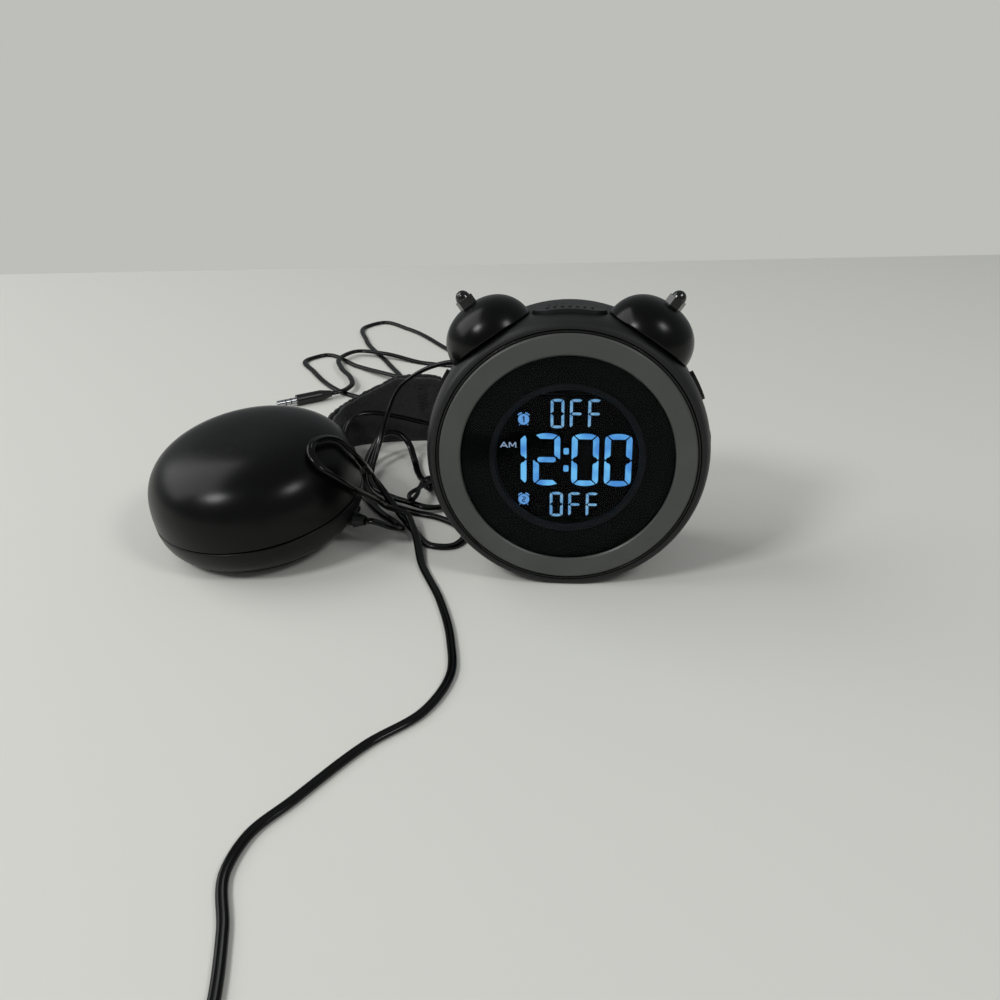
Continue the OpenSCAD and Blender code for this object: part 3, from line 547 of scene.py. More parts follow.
@dataclass(frozen=True)
class Lit(Finish):
    """A lit surface, a little brighter in some spots than in others.

    Attributes:
        deep: Colour of its deeper spots.
        bright: Colour of its brighter spots.
        patch: Size of the spots.
        strength: How strongly it shines.
    """

    deep: str
    bright: str
    patch: float = 6.0
    strength: float = 1.95

    def sockets(self, tree: bpy.types.NodeTree) -> dict[str, Any]:
        """Adds the glow over dark blue glass."""
        spots = ranged(tree, speckle(tree, self.patch, 1.0), start=0.35, end=0.65)
        return {
            "Base Color": linear("#0b1420"),
            "Roughness": 0.4,
            "Emission Color": tinted(tree, spots, self.deep, self.bright),
            "Emission Strength": self.strength,
        }


@dataclass(frozen=True)
class Glazed(Finish):
    """Clear or tinted moulded sheet that is seen through.

    Attributes:
        tint: Colour of the light that passes.
        roughness: Roughness of both faces.
        ior: Index of refraction.
    """

    tint: str
    roughness: float
    ior: float

    def sockets(self, tree: bpy.types.NodeTree) -> dict[str, Any]:
        """Adds the sheet, with faint smears in its polish."""
        low, high = self.roughness, self.roughness + 0.03
        return {
            "Base Color": linear(self.tint),
            "Roughness": ranged(tree, speckle(tree, 9.0), low, high),
            "Transmission Weight": 1.0,
            "IOR": self.ior,
        }


@dataclass(frozen=True)
class Jacket(Finish):
    """Extruded soft PVC of the flat cords: glossy, with faint marks along it."""

    name: str = "extruded glossy black PVC"
    dark: str = "#030303"
    light: str = "#060607"
    roughness: float = 0.15

    def sockets(self, tree: bpy.types.NodeTree) -> dict[str, Any]:
        """Adds streaks 12 mm long and 0.5 mm wide by the tube's surface marks."""
        place = add(tree, "UVMap", uv_map="surface")
        drawn = add(tree, "Mapping", {"Vector": place, "Scale": (0.04, 1.0, 1.0)})
        streak = speckle(tree, 0.5, 2.0, drawn)
        handled = speckle(tree, 11.0, 3.0)
        low, high = self.roughness - 0.04, self.roughness + 0.07
        return {
            "Base Color": tinted(tree, ranged(tree, handled), self.dark, self.light),
            "Roughness": ranged(tree, handled, low, high),
            "Normal": bumped(tree, streak, 0.008),
            "IOR": 1.34,
        }


@dataclass(frozen=True)
class Napped(Finish):
    """Brushed loop fabric: dull, fuzzy, with pills where it was handled.

    The loops of the real strap are 0.3 mm apart; they are drawn wider so that
    they show.
    """

    name: str = "brushed black nylon loop fabric"
    dark: str = "#070708"
    light: str = "#1b1b1d"
    loop: float = 0.55

    def sockets(self, tree: bpy.types.NodeTree) -> dict[str, Any]:
        """Adds small loops over a coarser, matted noise."""
        place = add(tree, "TexCoord", output="Object")
        cells = {"Vector": place, "Scale": 1.0 / (self.loop * MM)}
        loops = add(tree, "TexVoronoi", cells, "Distance")
        matted = speckle(tree, 2.4, 3.0)
        both = add(tree, "Math", {0: loops, 1: matted}, operation="ADD")
        nap = ranged(tree, both, start=0.5, end=1.3)
        return {
            "Base Color": tinted(tree, nap, self.dark, self.light),
            "Roughness": ranged(tree, matted, 0.85, 1.0),
            "Normal": bumped(tree, both, 0.25, Strength=0.8),
            "Sheen Weight": 0.12,
            "Sheen Roughness": 0.7,
            "IOR": 1.4,
        }


# ---------------------------------------------------------------- the photograph's view


def posed(
    name: str, data: Any, place: Sequence[float], axes: Sequence[np.ndarray]
) -> bpy.types.Object:
    """Stands a camera or a lamp in the scene.

    Args:
        name: Its name.
        data: The camera's or the lamp's data.
        place: Where it stands.
        axes: Its right, its up and the way behind it.

    Returns:
        The new object.
    """
    pose = np.eye(4)
    pose[:3, :3] = np.array(axes).T
    pose[:3, 3] = np.array(place) * MM
    obj = bpy.data.objects.new(name, data)
    bpy.context.scene.collection.objects.link(obj)
    obj.matrix_world = Matrix(pose.tolist())
    return obj


@dataclass(frozen=True)
class Viewpoint:
    """The camera that took the photograph.

    Attributes:
        place: Where it stands.
        yaw: Turn to the left in degrees.
        pitch: Downward tilt in degrees.
        roll: Turn about the line of sight in degrees.
        lens: Focal length on the sensor.
        sensor: Width of the sensor.
    """

    place: Triple = (-0.86, -302.64, 190.83)
    yaw: float = 4.74
    pitch: float = 29.04
    roll: float = -1.34
    lens: float = 31.84
    sensor: float = 36.0

    def camera(self) -> bpy.types.Object:
        """Makes the scene's camera.

        Returns:
            The camera object.
        """
        angles = np.radians([self.yaw, self.pitch, self.roll])
        (cos_y, cos_p, cos_r), (sin_y, sin_p, sin_r) = np.cos(angles), np.sin(angles)
        ahead = np.array([-sin_y * cos_p, cos_y * cos_p, -sin_p])
        right = np.array([cos_y, sin_y, 0.0])
        up = np.cross(right, ahead)
        data = bpy.data.cameras.new("viewpoint")
        data.lens = self.lens
        data.sensor_width = self.sensor
        data.clip_start, data.clip_end = 0.01, 20.0
        axes = [cos_r * right + sin_r * up, cos_r * up - sin_r * right, -ahead]
        camera = posed("viewpoint", data, self.place, axes)
        bpy.context.scene.camera = camera
        return camera


# ---------------------------------------------------------------- cords

# End to end as chosen points, as in the part's source
SHAKER_ROUTE = (
    (-80.4, -0.7, 12.1), (-76.5, -1.7, 12.3), (-70.5, -1, 9.5), (-67.5, 6, 4.5),
    (-71, 15, 1), (-80, 25, 1), (-88.5, 37, 1), (-97, 50, 1), (-103.5, 61, 4.5),
    (-105.6, 71, 12), (-105.5, 79, 17.2), (-101.7, 86, 20), (-94.2, 90, 19.5),
    (-85.1, 91, 17.6), (-75.7, 90, 16), (-66.6, 89, 14), (-56, 91, 9.5), (-45, 97, 4),
    (-34, 107, 1), (-26, 123, 1), (-24, 146, 1), (-42, 190, 1), (-76, 234, 1),
    (-109, 276, 1), (-129, 290, 1), (-139, 280, 1), (-133, 252, 1), (-110, 208, 1),
    (-96, 178, 1), (-94, 160, 1), (-104, 150, 1), (-120, 156, 1), (-154, 195, 1),
    (-163, 213, 1), (-154, 223, 1), (-129, 204, 1), (-100, 181, 3.2), (-78, 172, 1),
    (-56, 172, 1), (-45, 184, 1), (-56, 198, 1), (-91, 211, 1), (-116, 221, 3.2),
    (-134, 224, 3.2), (-141, 212, 3.2), (-136, 194, 3.2), (-127, 178, 3.4),
    (-124, 167, 3.2), (-127, 159.2, 3), (-133, 155, 3),
)
POWER_ROUTE = (
    (-29, 49.2, 57.2), (-29, 53.2, 56.8), (-31.5, 61, 56), (-38, 67, 55),
    (-47, 71, 53.5), (-58, 75, 50.5), (-69, 78, 45), (-79, 80, 36), (-85, 79, 24),
    (-89, 74, 12), (-91, 65, 5), (-90, 54, 3.4), (-86, 44, 3.2), (-78, 36, 3.2),
    (-68, 30.5, 3.2), (-59.5, 27.5, 2.6), (-53.7, 29.8, 1.8), (-51.3, 33.5, 1.5),
    (-50.9, 36.9, 1.5), (-53, 41.5, 1.6), (-58.3, 44.5, 3.2), (-61.5, 47.5, 3.6),
    (-64.7, 51, 3.4), (-69, 61, 2), (-73, 74, 3), (-77, 81, 8.8), (-81.1, 82.2, 12.2),
    (-84.6, 82, 13), (-88.9, 80.7, 12.2), (-92.5, 77, 8), (-95, 69, 3.5),
    (-94.8, 60, 1), (-92.3, 51, 1), (-88.5, 43, 1), (-82, 35.5, 1), (-74, 30, 1),
    (-66, 26, 1), (-55, 22, 1), (-46, 15.5, 1), (-41.5, 7, 1), (-45.3, -0.6, 1),
    (-54.3, -0.8, 1), (-62.5, 9.5, 1), (-69, 18.5, 2.6), (-75, 26, 5.4), (-79, 30, 9),
    (-83.3, 30.5, 16), (-83.4, 21.6, 24.4), (-83.1, 14.8, 30.2), (-83.9, 12.2, 33.9),
    (-86.3, 10, 38.7), (-89.6, 9.8, 42.4), (-94, 5, 46), (-97.7, -2, 46.3),
    (-96.7, -7, 44.1), (-93, -9.8, 40.8), (-88, -8, 35.5), (-83.9, -2.3, 28.1),
    (-79, 9, 17), (-75.1, 16.3, 9), (-67.9, 16.9, 6), (-63, 8, 4), (-56, -15, 1),
    (-46, -38, 1), (-39, -62, 1), (-37, -80, 1), (-43, -97, 1), (-58, -112, 1),
    (-74, -134, 1), (-83, -147, 1), (-85, -158, 1), (-80, -174, 1), (-76, -191, 1),
    (-74, -214, 2.4),
)
PLUG_ROUTE = ((-50, -249.5, 5.5), (-43, -250, 4.5), (-36, -250, 4))


@dataclass
class Winding:
    """The coil of spare power cord, turn beside turn and layer on layer.

    The radius and height are numbers of the angle: each shift adds its step by
    the smooth curve t t (3 - 2 t) between its two angles.

    Attributes:
        centre: Middle of the coil on the table.
        radius: Radius at which the cord comes in.
        height: Height of the first layer's middle.
        start: Angle of the cord's first touch, in degrees.
        end: Angle at which the cord leaves.
        step: Angle between two points.
        shifts: From angle, to angle and step of each change of radius.
        climbs: The same for each change of height.
    """

    centre: tuple[float, float] = (-56.0, -226.0)
    radius: float = 18.0
    height: float = 1.9
    start: float = 180.0
    end: float = 2430.0
    step: float = 15.0
    shifts: tuple[Triple, ...] = (
        (490, 540, -3.2),
        (1110, 1160, 3.2),
        (1420, 1470, 3.2),
        (1780, 1830, -3.2),
        (2090, 2140, -3.2),
        (2280, 2430, 9.2),
    )
    climbs: tuple[Triple, ...] = (
        (800, 850, 2.2),
        (1730, 1780, 2.1),
        (2255, 2300, 2.0),
        (2390, 2430, -1.2),
    )

    @staticmethod
    def _sum(turn: np.ndarray, steps: tuple[Triple, ...]) -> np.ndarray:
        """Adds up the smooth steps that lie before each angle."""
        total = np.zeros_like(turn)
        for low, high, step in steps:
            t = np.clip((turn - low) / (high - low), 0.0, 1.0)
            total += step * t * t * (3 - 2 * t)
        return total

    def points(self) -> np.ndarray:
        """Works out the winding's middle line.

        Returns:
            Points, shape (n, 3).
        """
        turn = np.arange(self.start + self.step, self.end + 0.1, self.step)
        radius = self.radius + self._sum(turn, self.shifts)
        height = self.height + self._sum(turn, self.climbs)
        angle, (x, y) = np.radians(turn), self.centre
        return np.stack(
            [x + radius * np.cos(angle), y + radius * np.sin(angle), height], axis=1
        )


@dataclass
class FlatCord:
    """One of the clock's flat two-core cords.

    Its section is a figure of eight: two round cores side by side whose jackets
    are joined, so that it shows two bright lines.

    Attributes:
        name: The piece's name.
        points: Chosen points of its route.
        length: Its real length in metres; not used.
        nodes: Solids that it stands for.
        on_it: The separate pieces on it; not used.
        core: Radius of one core's jacket.
        apart: Half the distance of the cores.
        sides: Points round one core.
        step: Distance between two sections.
        width: Width of the flat cord; not used.
        lift: Clearance between the cord and the table.
    """

    name: str
    points: np.ndarray
    length: float
    nodes: tuple[str, ...]
    on_it: tuple[str, ...]
    core: float = 0.95
    apart: float = 0.65
    sides: int = 9
    step: float = 1.0
    width: float = 3.2
    lift: float = 0.03

    def section(self) -> np.ndarray:
        """Gives the figure of eight: two arcs that meet between the cores.

        Returns:
            Section points, anticlockwise.
        """
        meet = math.acos(-self.apart / self.core)
        right = self.core * arc(-meet, meet, self.sides)
        left = self.core * arc(math.pi - meet, math.pi + meet, self.sides)[1:-1]
        return np.concatenate([right + [self.apart, 0.0], left - [self.apart, 0.0]])

    def build(
        self, material: bpy.types.Material, pieces: dict[str, bpy.types.Object]
    ) -> bpy.types.Object:
        """Args:
            material: The jacket's finish.
            pieces: Pieces by name; not used.

        Returns:
            The cord.
        """
        path = smooth_path(self.points, self.step)
        path[:, 2] = path[:, 2].clip(self.core + self.lift)
        tube = swept(path, self.section(), level_across(path, 9))
        cord = tube.piece(self.name, material, Slot.CORD, *self.nodes)
        LOG.info("%s: %.3f m", self.name, lengths(path)[-1] * MM)
        return cord


# --------------------------------------------------------------- stock of the solids

# Names of solids, then name, dark and light colour and roughness of their stuff
PLAIN_STOCK = (
    ("case_shell", "moulded ABS, spark-eroded", "#151616", "#1b1c1c", 0.48),
    ("rear_cover battery_door", "moulded ABS of the back", "#161717", "#1c1d1d", 0.55),
    ("backlight", "white styrene light guide", "#d4d8dc", "#e4e8ea", 0.4),
    ("ring_leds", "white lamp packages", "#c8ccd0", "#e6e8e8", 0.35),
    ("board_chips button_switches", "black epoxy packages", "#101113", "#191a1c", 0.45),
    (
        "snooze_button right_upper_button right_lower_button left_upper_button"
        " left_lower_button",
        "black button ABS",
        "#131414",
        "#191a1a",
        0.45,
    ),
    ("rubber_foot puck_base_pad", "black rubber", "#0d0d0d", "#141414", 0.8),
    ("speaker_frame", "black pressed steel", "#161718", "#1d1e1f", 0.4),
    ("speaker_cone", "black paper cone", "#0c0c0d", "#161617", 0.9),
    ("speaker_magnet", "sintered ferrite", "#26272a", "#34363a", 0.5),
    ("speaker_lead", "red lead insulation", "#7a1414", "#94201c", 0.35),
    ("power_jack shaker_jack", "glossy black socket", "#080809", "#0e0e10", 0.25),
    ("volume_switch dimmer_switch", "grey slide knob", "#3a3b3c", "#454647", 0.45),
    ("battery_holder", "natural nylon holder", "#1b1c1d", "#252627", 0.5),
    ("motor_clamp", "moulded black ABS clamp", "#161717", "#1d1e1e", 0.45),
    (
        "puck_cord_relief power_plug coil_tie",
        "soft black PVC relief",
        "#0a0a0b",
        "#121214",
        0.3,
    ),
)
SPECIAL_STOCK: dict[str, Finish] = {
    # polished rim: nearly black, mirrors the lamps
    "front_bezel": Moulded(
        "polished black ABS", "#060607", "#09090a", 0.12, 0.03, relief=0.001
    ),
    # frosted diffuser: mid grey, satin
    "light_ring": Moulded(
        "frosted acrylic diffuser",
        "#4a4c49",
        "#505250",
        0.34,
        0.04,
        relief=0.002,
        edge=0.5,
    ),
    "display_lens": Glazed(
        "smoked acrylic window, coated against glare", "#b4babe", 0.01, 1.11
    ),
    "display_carrier": Moulded(
        "black styrene carrier", "#020202", "#030304", 0.6, relief=0.0
    ),
    "display_frame": Moulded(
        "satin grey frame", "#333438", "#3a3b3f", 0.5, relief=0.0
    ),
    "lcd_panel": Moulded(
        "dark liquid crystal glass", "#020203", "#030304", 0.55, relief=0.0, ior=1.25
    ),
    "led_board main_board jack_board": Moulded(
        "green solder mask", "#0e3a22", "#16492d", 0.3, mottle=4.0
    ),
    "board_screws cover_screws clamp_screws puck_screws": Moulded(
        "bright zinc plate", "#9da1a4", "#c0c3c5", 0.28, 0.08, metal=1.0
    ),
    "bell_studs motor_shaft eccentric_weight": Moulded(
        "drawn steel rod", "#8f9294", "#b4b6b8", 0.25, metal=1.0
    ),
    "cap_nuts": Moulded(
        "black nickel plate", "#050505", "#0a0a0a", 0.1, 0.03, coat=0.6
    ),
    "coin_cell": Moulded(
        "nickel plated cell", "#b0b2b2", "#c9cac8", 0.22, 0.06, metal=1.0
    ),
    "puck_motor": Moulded("motor can steel", "#a5a8aa", "#c2c4c5", 0.25, metal=1.0),
    "shaker_plug": Tipped(
        "black moulded jack plug with a plated pin",
        (-149.96, 144.4, 3.0),
        (-0.84805, -0.52992, 0.0),
        (3.4, 6.4),
    ),
    "usb_plug": Tipped(
        "black moulded plug with a plated shell", (-14.0, -250.0, 4.0), (1.0, 0.0, 0.0)
    ),
}


@dataclass
class Solids:
    """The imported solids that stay, each with its own finish.

    Attributes:
        nodes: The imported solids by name.
    """

    nodes: dict[str, bpy.types.Object]

    def dress(self) -> None:
        """Puts the finishes on the solids."""
        stock = {names: Moulded(*row) for names, *row in PLAIN_STOCK}
        for names, finish in {**stock, **SPECIAL_STOCK}.items():
            material = finish.material()
            for name in names.split():
                mesh = self.nodes[name].data
                mesh.materials.clear()
                mesh.materials.append(material)
            LOG.info("%s: %s", material.name, names)


# ---------------------------------------------------------------- turned shells


def lathe(
    radius: np.ndarray, height: np.ndarray, origin: np.ndarray, axes: np.ndarray
) -> Patch:
    """Turns an outline about an axis and closes both of its ends.

    A point is origin + r (cos t X + sin t Y) + h Z, with the outline's r and h,
    which may themselves differ from angle to angle.

    Args:
        radius: Shape (rows,) or (rows, angles).
        height: The same for the height along the axis.
        origin: Foot of the axis.
        axes: Rows X, Y and Z of a right-handed set.

    Returns:
        The closed surface; rows run from the outer pole down to the rim and
        back inside, so that its faces point outwards.
    """
    radius, height = (r.reshape(len(r), -1) for r in (radius, height))
    turn = np.linspace(0.0, 2 * math.pi, ANGLES, endpoint=False)
    points = (
        origin
        + (radius * np.cos(turn))[..., None] * axes[0]
        + (radius * np.sin(turn))[..., None] * axes[1]
        + np.broadcast_to(height, (len(height), ANGLES))[..., None] * axes[2]
    )
    way = lengths(points.mean(axis=1) + radius.mean(axis=1)[:, None] * axes[0])
    rim = turn * radius.max()
    return net(points, np.stack(np.broadcast_arrays(way[:, None], rim[None, :]), -1))


def eased(count: int) -> np.ndarray:
    """Gives numbers from 0 to 1 that crowd together at both ends."""
    t = np.linspace(0.0, 1.0, count)
    return t - np.sin(2 * math.pi * t) / (2 * math.pi)


@dataclass
class Puck:
    """The shaker's two domed shells and the groove between them.

    Attributes:
        place: Foot of its axis on the table.
        tilts: Turns about X and Y in degrees, as it leans on the strap.
        radius: Its radius at the seam.
        seam: Height of the seam.
        dome: Height of the upper shell.
        pan: Height of the lower shell.
        foot: Radius where the pad sits.
        bore: Radius of the small hole that closes the pan's rows.
        wall: Thickness of the shells.
        groove: Depth and half the width of the seam's groove.
        lip: Bevel of the groove's lips.
    """

    place: Triple = (-125.0, 11.0, 3.82)
    tilts: tuple[float, float] = (4.9, -4.2)
    radius: float = 42.5
    seam: float = 15.0
    dome: float = 28.5
    pan: float = 13.4
    foot: float = 33.0
    bore: float = 3.0
    wall: float = 2.4
    groove: tuple[float, float] = (0.7, 0.32)
    lip: tuple[float, float] = (0.08, 0.1)

    def axes(self) -> np.ndarray:
        """Gives the puck's own axes as rows.

        Returns:
            The axes after the turn about X and then about Y.
        """
        a, b = (math.radians(t) for t in self.tilts)
        cos, sin = math.cos(a), math.sin(a)
        about_x = np.array([[1, 0, 0], [0, cos, -sin], [0, sin, cos]])
        cos, sin = math.cos(b), math.sin(b)
        about_y = np.array([[cos, 0, sin], [0, 1, 0], [-sin, 0, cos]])
        return (about_y @ about_x).T

    def _upper(self, inset: float, count: int) -> tuple[np.ndarray, np.ndarray]:
        """Outline of the dome: r cos^0.7 and h sin^0.7 of an angle, from the top."""
        a = math.pi / 2 * np.linspace(0.985, 0.0, count) ** 1.8
        cos, sin = np.cos(a) ** 0.7, np.sin(a) ** 0.7
        return (self.radius - inset) * cos, self.seam + (self.dome - inset) * sin

    def _lower(self, inset: float, count: int) -> tuple[np.ndarray, np.ndarray]:
        """Outline of the pan, from its foot up to the seam, by powers of 0.92."""
        a = math.pi / 2 * (1 - eased(count))
        cos, sin = np.cos(a).clip(0.0) ** 0.92, np.sin(a).clip(0.0) ** 0.92
        reach = self.radius - inset - self.foot
        return self.foot + reach * cos, self.seam - (self.pan - inset) * sin

    def build(self, lacquer: bpy.types.Material, pan: bpy.types.Material) -> None:
        """Turns both shells with the groove's lips between them.

        Args:
            lacquer: Finish of the upper shell.
            pan: Finish of the lower shell.
        """
        deep, half = self.groove
        lip_in, lip_up = self.lip
        turned = np.array(self.place), self.axes()
        lip_r = self.radius - np.array([lip_in, deep, self.wall])
        lip_z = half + np.array([lip_up, 0.0, 0.0])
        outer_r, outer_z = self._upper(0.0, 72)
        inner_r, inner_z = self._upper(self.wall, 40)
        keep = outer_z > self.seam + half + 0.25
        lathe(
            np.concatenate([outer_r[keep], lip_r, inner_r[::-1][1:]]),
            np.concatenate([outer_z[keep], self.seam + lip_z, inner_z[::-1][1:]]),
            *turned,
        ).piece("puck_dome", lacquer, Slot.PUCK, "puck_upper_shell")
        outer_r, outer_z = self._lower(0.0, 40)
        inner_r, inner_z = self._lower(self.wall, 24)
        keep = outer_z < self.seam - half - 0.2
        ledge_r = [self.bore, self.foot - self.wall]
        base_r = [self.foot - 1.0, self.bore]
        base = self.seam - self.pan
        rim_r, rim_z = lip_r[::-1], self.seam - lip_z[::-1]
        lathe(
            np.concatenate([ledge_r, inner_r[1:], rim_r, outer_r[keep][::-1], base_r]),
            np.concatenate(
                [
                    np.full(2, base + self.wall),
                    inner_z[1:],
                    rim_z,
                    outer_z[keep][::-1],
                    np.full(2, base),
                ]
            ),
            *turned,
        ).piece("puck_pan", pan, Slot.PUCK_BASE, "puck_lower_shell")


@dataclass
class Bells:
    """The two pressed domes on top of the case.

    Attributes:
        angle: Lean of each bell from upright, in degrees.
        depth: Distance of its axis behind the case's front.
        base: Distance of its flat foot from the clock's axis.
        radius: Its radius.
        height: Its height.
        wall: Thickness of the steel.
        case: Radius of the case with the gap round it.
    """

    angle: float = 34.5
    depth: float = 16.6
    base: float = 48.2
    radius: float = 16.6
    height: float = 15.0
    wall: float = 1.2
    case: float = 51.65

    def _skin(self, inset: float, count: int) -> tuple[np.ndarray, np.ndarray]:
        """Outline at every angle from the top down to the round case.

        The dome is r cos^0.9 a and h sin^0.9 a. The last a, where it meets the
        case's cylinder, is found by halving the range at all angles together.
        """
        turn = np.linspace(0.0, 2 * math.pi, ANGLES, endpoint=False)
        radius, height = self.radius - inset, self.height - inset
        low, high = np.zeros_like(turn), np.full_like(turn, math.pi / 2)
        for _ in range(24):
            a = (low + high) / 2
            r, z = radius * np.cos(a) ** 0.9, height * np.sin(a) ** 0.9
            inside = (self.base + z) ** 2 + (r * np.cos(turn)) ** 2 < self.case**2
            low, high = np.where(inside, a, low), np.where(inside, high, a)
        share = np.linspace(0.995, 0.0, count)[:, None]
        a = high + (math.pi / 2 - high) * share
        return radius * np.cos(a) ** 0.9, self.base + height * np.sin(a) ** 0.9

    def build(self, paint: bpy.types.Material) -> None:
        """Turns both bells as thin shells that sit on the case.

        Args:
            paint: Their finish.
        """
        outer_r, outer_z = self._skin(0.0, 40)
        inner_r, inner_z = self._skin(self.wall, 24)
        right = np.array([1.0, 0.0, 0.0])
        above = np.array([0.0, math.sin(LEAN), math.cos(LEAN)])
        for name, side in (("left_bell", -1), ("right_bell", 1)):
            a = math.radians(side * self.angle)
            out = math.sin(a) * right + math.cos(a) * above
            along = math.cos(a) * right - math.sin(a) * above
            lathe(
                np.concatenate([outer_r, inner_r[::-1]]),
                np.concatenate([outer_z, inner_z[::-1]]),
                clock_points(0.0, self.depth, 0.0),
                np.array([along, np.cross(out, along), out]),
            ).piece(f"{name}_dome", paint, Slot.BELL, name)


# ---------------------------------------------------------------- strap and tie


def ripple(places: np.ndarray, wave: float, seed: int) -> np.ndarray:
    """Gives a smooth, repeatable unevenness between about -1 and 1.

    It adds up twelve sine waves whose directions and phases are drawn from a
    seeded generator.

    Args:
        places: Points, with a last axis of three.
        wave: Wavelength.
        seed: Number that picks the waves.

    Returns:
        One value a point.
    """
    draw = np.random.default_rng(seed)
    ways = unit(draw.normal(size=(12, 3))) * draw.uniform(0.6, 1.6, (12, 1))
    phase = draw.uniform(0.0, 2 * math.pi, 12)
    waves = np.sin(places @ ways.T * (2 * math.pi / wave) + phase)
    return waves.sum(axis=-1) / 4.0


@dataclass
class Strap:
    """The hook-and-loop strap: doubled, on its edge, and folded under the puck.

    Attributes:
        line: Middle line between its two layers.
        thick: Thickness of one layer.
        gap: Space between the layers.
        width: Its width, which is its height on edge.
        slope_x: Where its top edge starts to slope down.
        slope: Fall of the top edge towards the puck.
        corner: Radius of the sewn tab's corner, and where it starts.
        folded: Where the folds under the puck lie, from its axis.
        fold_way: Direction of those folds in degrees.
        flat_run: Points and width of the stretch between puck and band.
    """

    line: tuple[tuple[float, float], ...] = (
        (-111, 57),
        (-113, 70),
        (-113.5, 84),
        (-111, 92),
        (-104, 97),
        (-94, 100),
        (-84, 102),
        (-72, 103.4),
        (-60, 104),
    )
    thick: float = 1.8
    gap: float = 3.0
    width: float = 34.0
    slope_x: float = -84.0
    slope: float = 18.0 / 39.0
    corner: tuple[float, float] = (10.0, -68.0)
    folded: tuple[float, float] = (16.0, 34.0)
    fold_way: float = 49.5
    flat_run: tuple[tuple[Triple, ...], float] = (
        ((-108.0, 38.0, 0.9), (-109.6, 48.0, 0.9), (-111.0, 57.0, 0.9)),
        6.2,
    )

    def _middle(self) -> np.ndarray:
        """Gives the smooth middle line, seen from above."""
        return smooth_path([(x, y, 0.0) for x, y in self.line], 0.6)[:, :2]

    def _loop(self) -> np.ndarray:
        """Walks round the doubled strap: out on one layer and back on the other."""
        path = self._middle()
        ahead = unit(np.gradient(path, axis=0))
        left = np.stack([-ahead[:, 1], ahead[:, 0]], axis=1)
        off = (self.gap + self.thick) / 2
        cos, sin = arc(0.0, math.pi, 11)[1:-1].T[..., None]
        far = path[-1] + off * (cos * left[-1] + sin * ahead[-1])
        near = path[0] - off * (cos * left[0] + sin * ahead[0])
        return np.concatenate([path + off * left, far, (path - off * left)[::-1], near])

    def height(self, x: np.ndarray) -> np.ndarray:
        """Gives the top edge: a slope to the left, a round corner to the right."""
        size, start = self.corner
        fall = np.minimum(0.0, (x - self.slope_x) * self.slope)
        past = np.clip(x - start, 0.0, size)
        return self.width + fall - (size - np.sqrt(size**2 - past**2)) * 0.9

    def band(self) -> Patch:
        """Makes the standing band with rounded edges and a matted face.

        Its section is a slot with half-round ends; a fine unevenness moves each
        point along the wall's own normal, and more on the fuzzy top edge.

        Returns:
            The closed band.
        """
        loop = self._loop()
        ahead = unit(np.roll(loop, -1, 0) - np.roll(loop, 1, 0))
        out = np.stack([ahead[:, 1], -ahead[:, 0]], axis=1)[:, None]
        half = self.thick / 2
        cos, sin = arc(0.0, math.pi, 7).T
        rise = np.linspace(0.0, 1.0, 40)[1:-1]
        ones, flat = np.ones_like(rise), np.zeros_like(rise)
        side = np.concatenate([ones, cos, -ones, -cos])
        share = np.concatenate([rise, np.ones(7), rise[::-1], np.zeros(7)])
        rounding = np.concatenate([flat, sin, flat, -sin])
        top = self.height(loop[:, 0])[:, None]
        points = np.empty((len(loop), len(side), 3))
        points[..., :2] = loop[:, None] + (half * side)[None, :, None] * out
        points[..., 2] = half + (top - 2 * half) * share + half * rounding
        matted = 0.12 * ripple(points, 1.7, 5) + 0.16 * ripple(points, 7.0, 6)
        points[..., :2] += (matted * side)[..., None] * out
        points[..., 2] += np.where(share == 1.0, 1.6 * matted - 0.3, 0.0)
        points[..., 2] = points[..., 2].clip(0.05)
        way = lengths(loop)[:, None]
        marks = np.stack(np.broadcast_arrays(way, points[..., 2]), -1)
        return net(points, marks, loop=True)

    def _strip(self, width: float) -> np.ndarray:
        """Section of a flat strip with rounded edges, anticlockwise."""
        r = self.thick / 2
        right = r * arc(-math.pi / 2, math.pi / 2, 6) + [width / 2 - r, 0.0]
        return np.concatenate([right, -right])

    def fold(self) -> Patch:
        """Makes the strap's other end: folded in three under the puck.

        Returns:
            The folded layers as one strip that doubles back twice.
        """
        start, end = self.folded
        r = self.thick / 2 + 0.02
        bend = r * arc(-math.pi / 2, math.pi / 2, 9)
        first, last = [[start - 0.8, r]], [[end + 0.8, 5 * r]]
        line = np.concatenate(
            [first, bend + [end, 2 * r], bend * [-1, 1] + [start, 4 * r], last]
        )
        way = math.radians(self.fold_way)
        x, y, _ = Puck().place
        path = np.stack(
            [
                x + line[:, 0] * math.cos(way),
                y + line[:, 0] * math.sin(way),
                line[:, 1],
            ],
            axis=1,
        )
        across = (-math.sin(way), math.cos(way), 0.0)
        return swept(path, self._strip(self.width), across)

    def run(self) -> Patch:
        """Makes the flat stretch between the puck and the standing band."""
        points, width = self.flat_run
        return swept(smooth_path(points, 1.0), self._strip(width), (1.0, 0.08, 0.0))

    def stitches(self) -> Patch:
        """Sews a zigzag down the tab and a line of stitches along its edges.

        The thread runs half sunk on the face towards the viewer.

        Returns:
            The threads.
        """
        path = self._middle()
        path = path[np.argsort(path[:, 0])]
        face = path[:, 1] - self.gap / 2 - self.thick - 0.02

        def sewn(x: np.ndarray, z: np.ndarray, radius: float) -> Patch:
            """Lays one thread through points on the strap's face."""
            y = np.interp(x, path[:, 0], face)
            thread = radius * arc(0.0, 2 * math.pi, 6, whole=False)
            line = smooth_path(np.stack([x, y, z], 1), 0.3)
            return swept(line, thread, (0.0, 1.0, 0.0))

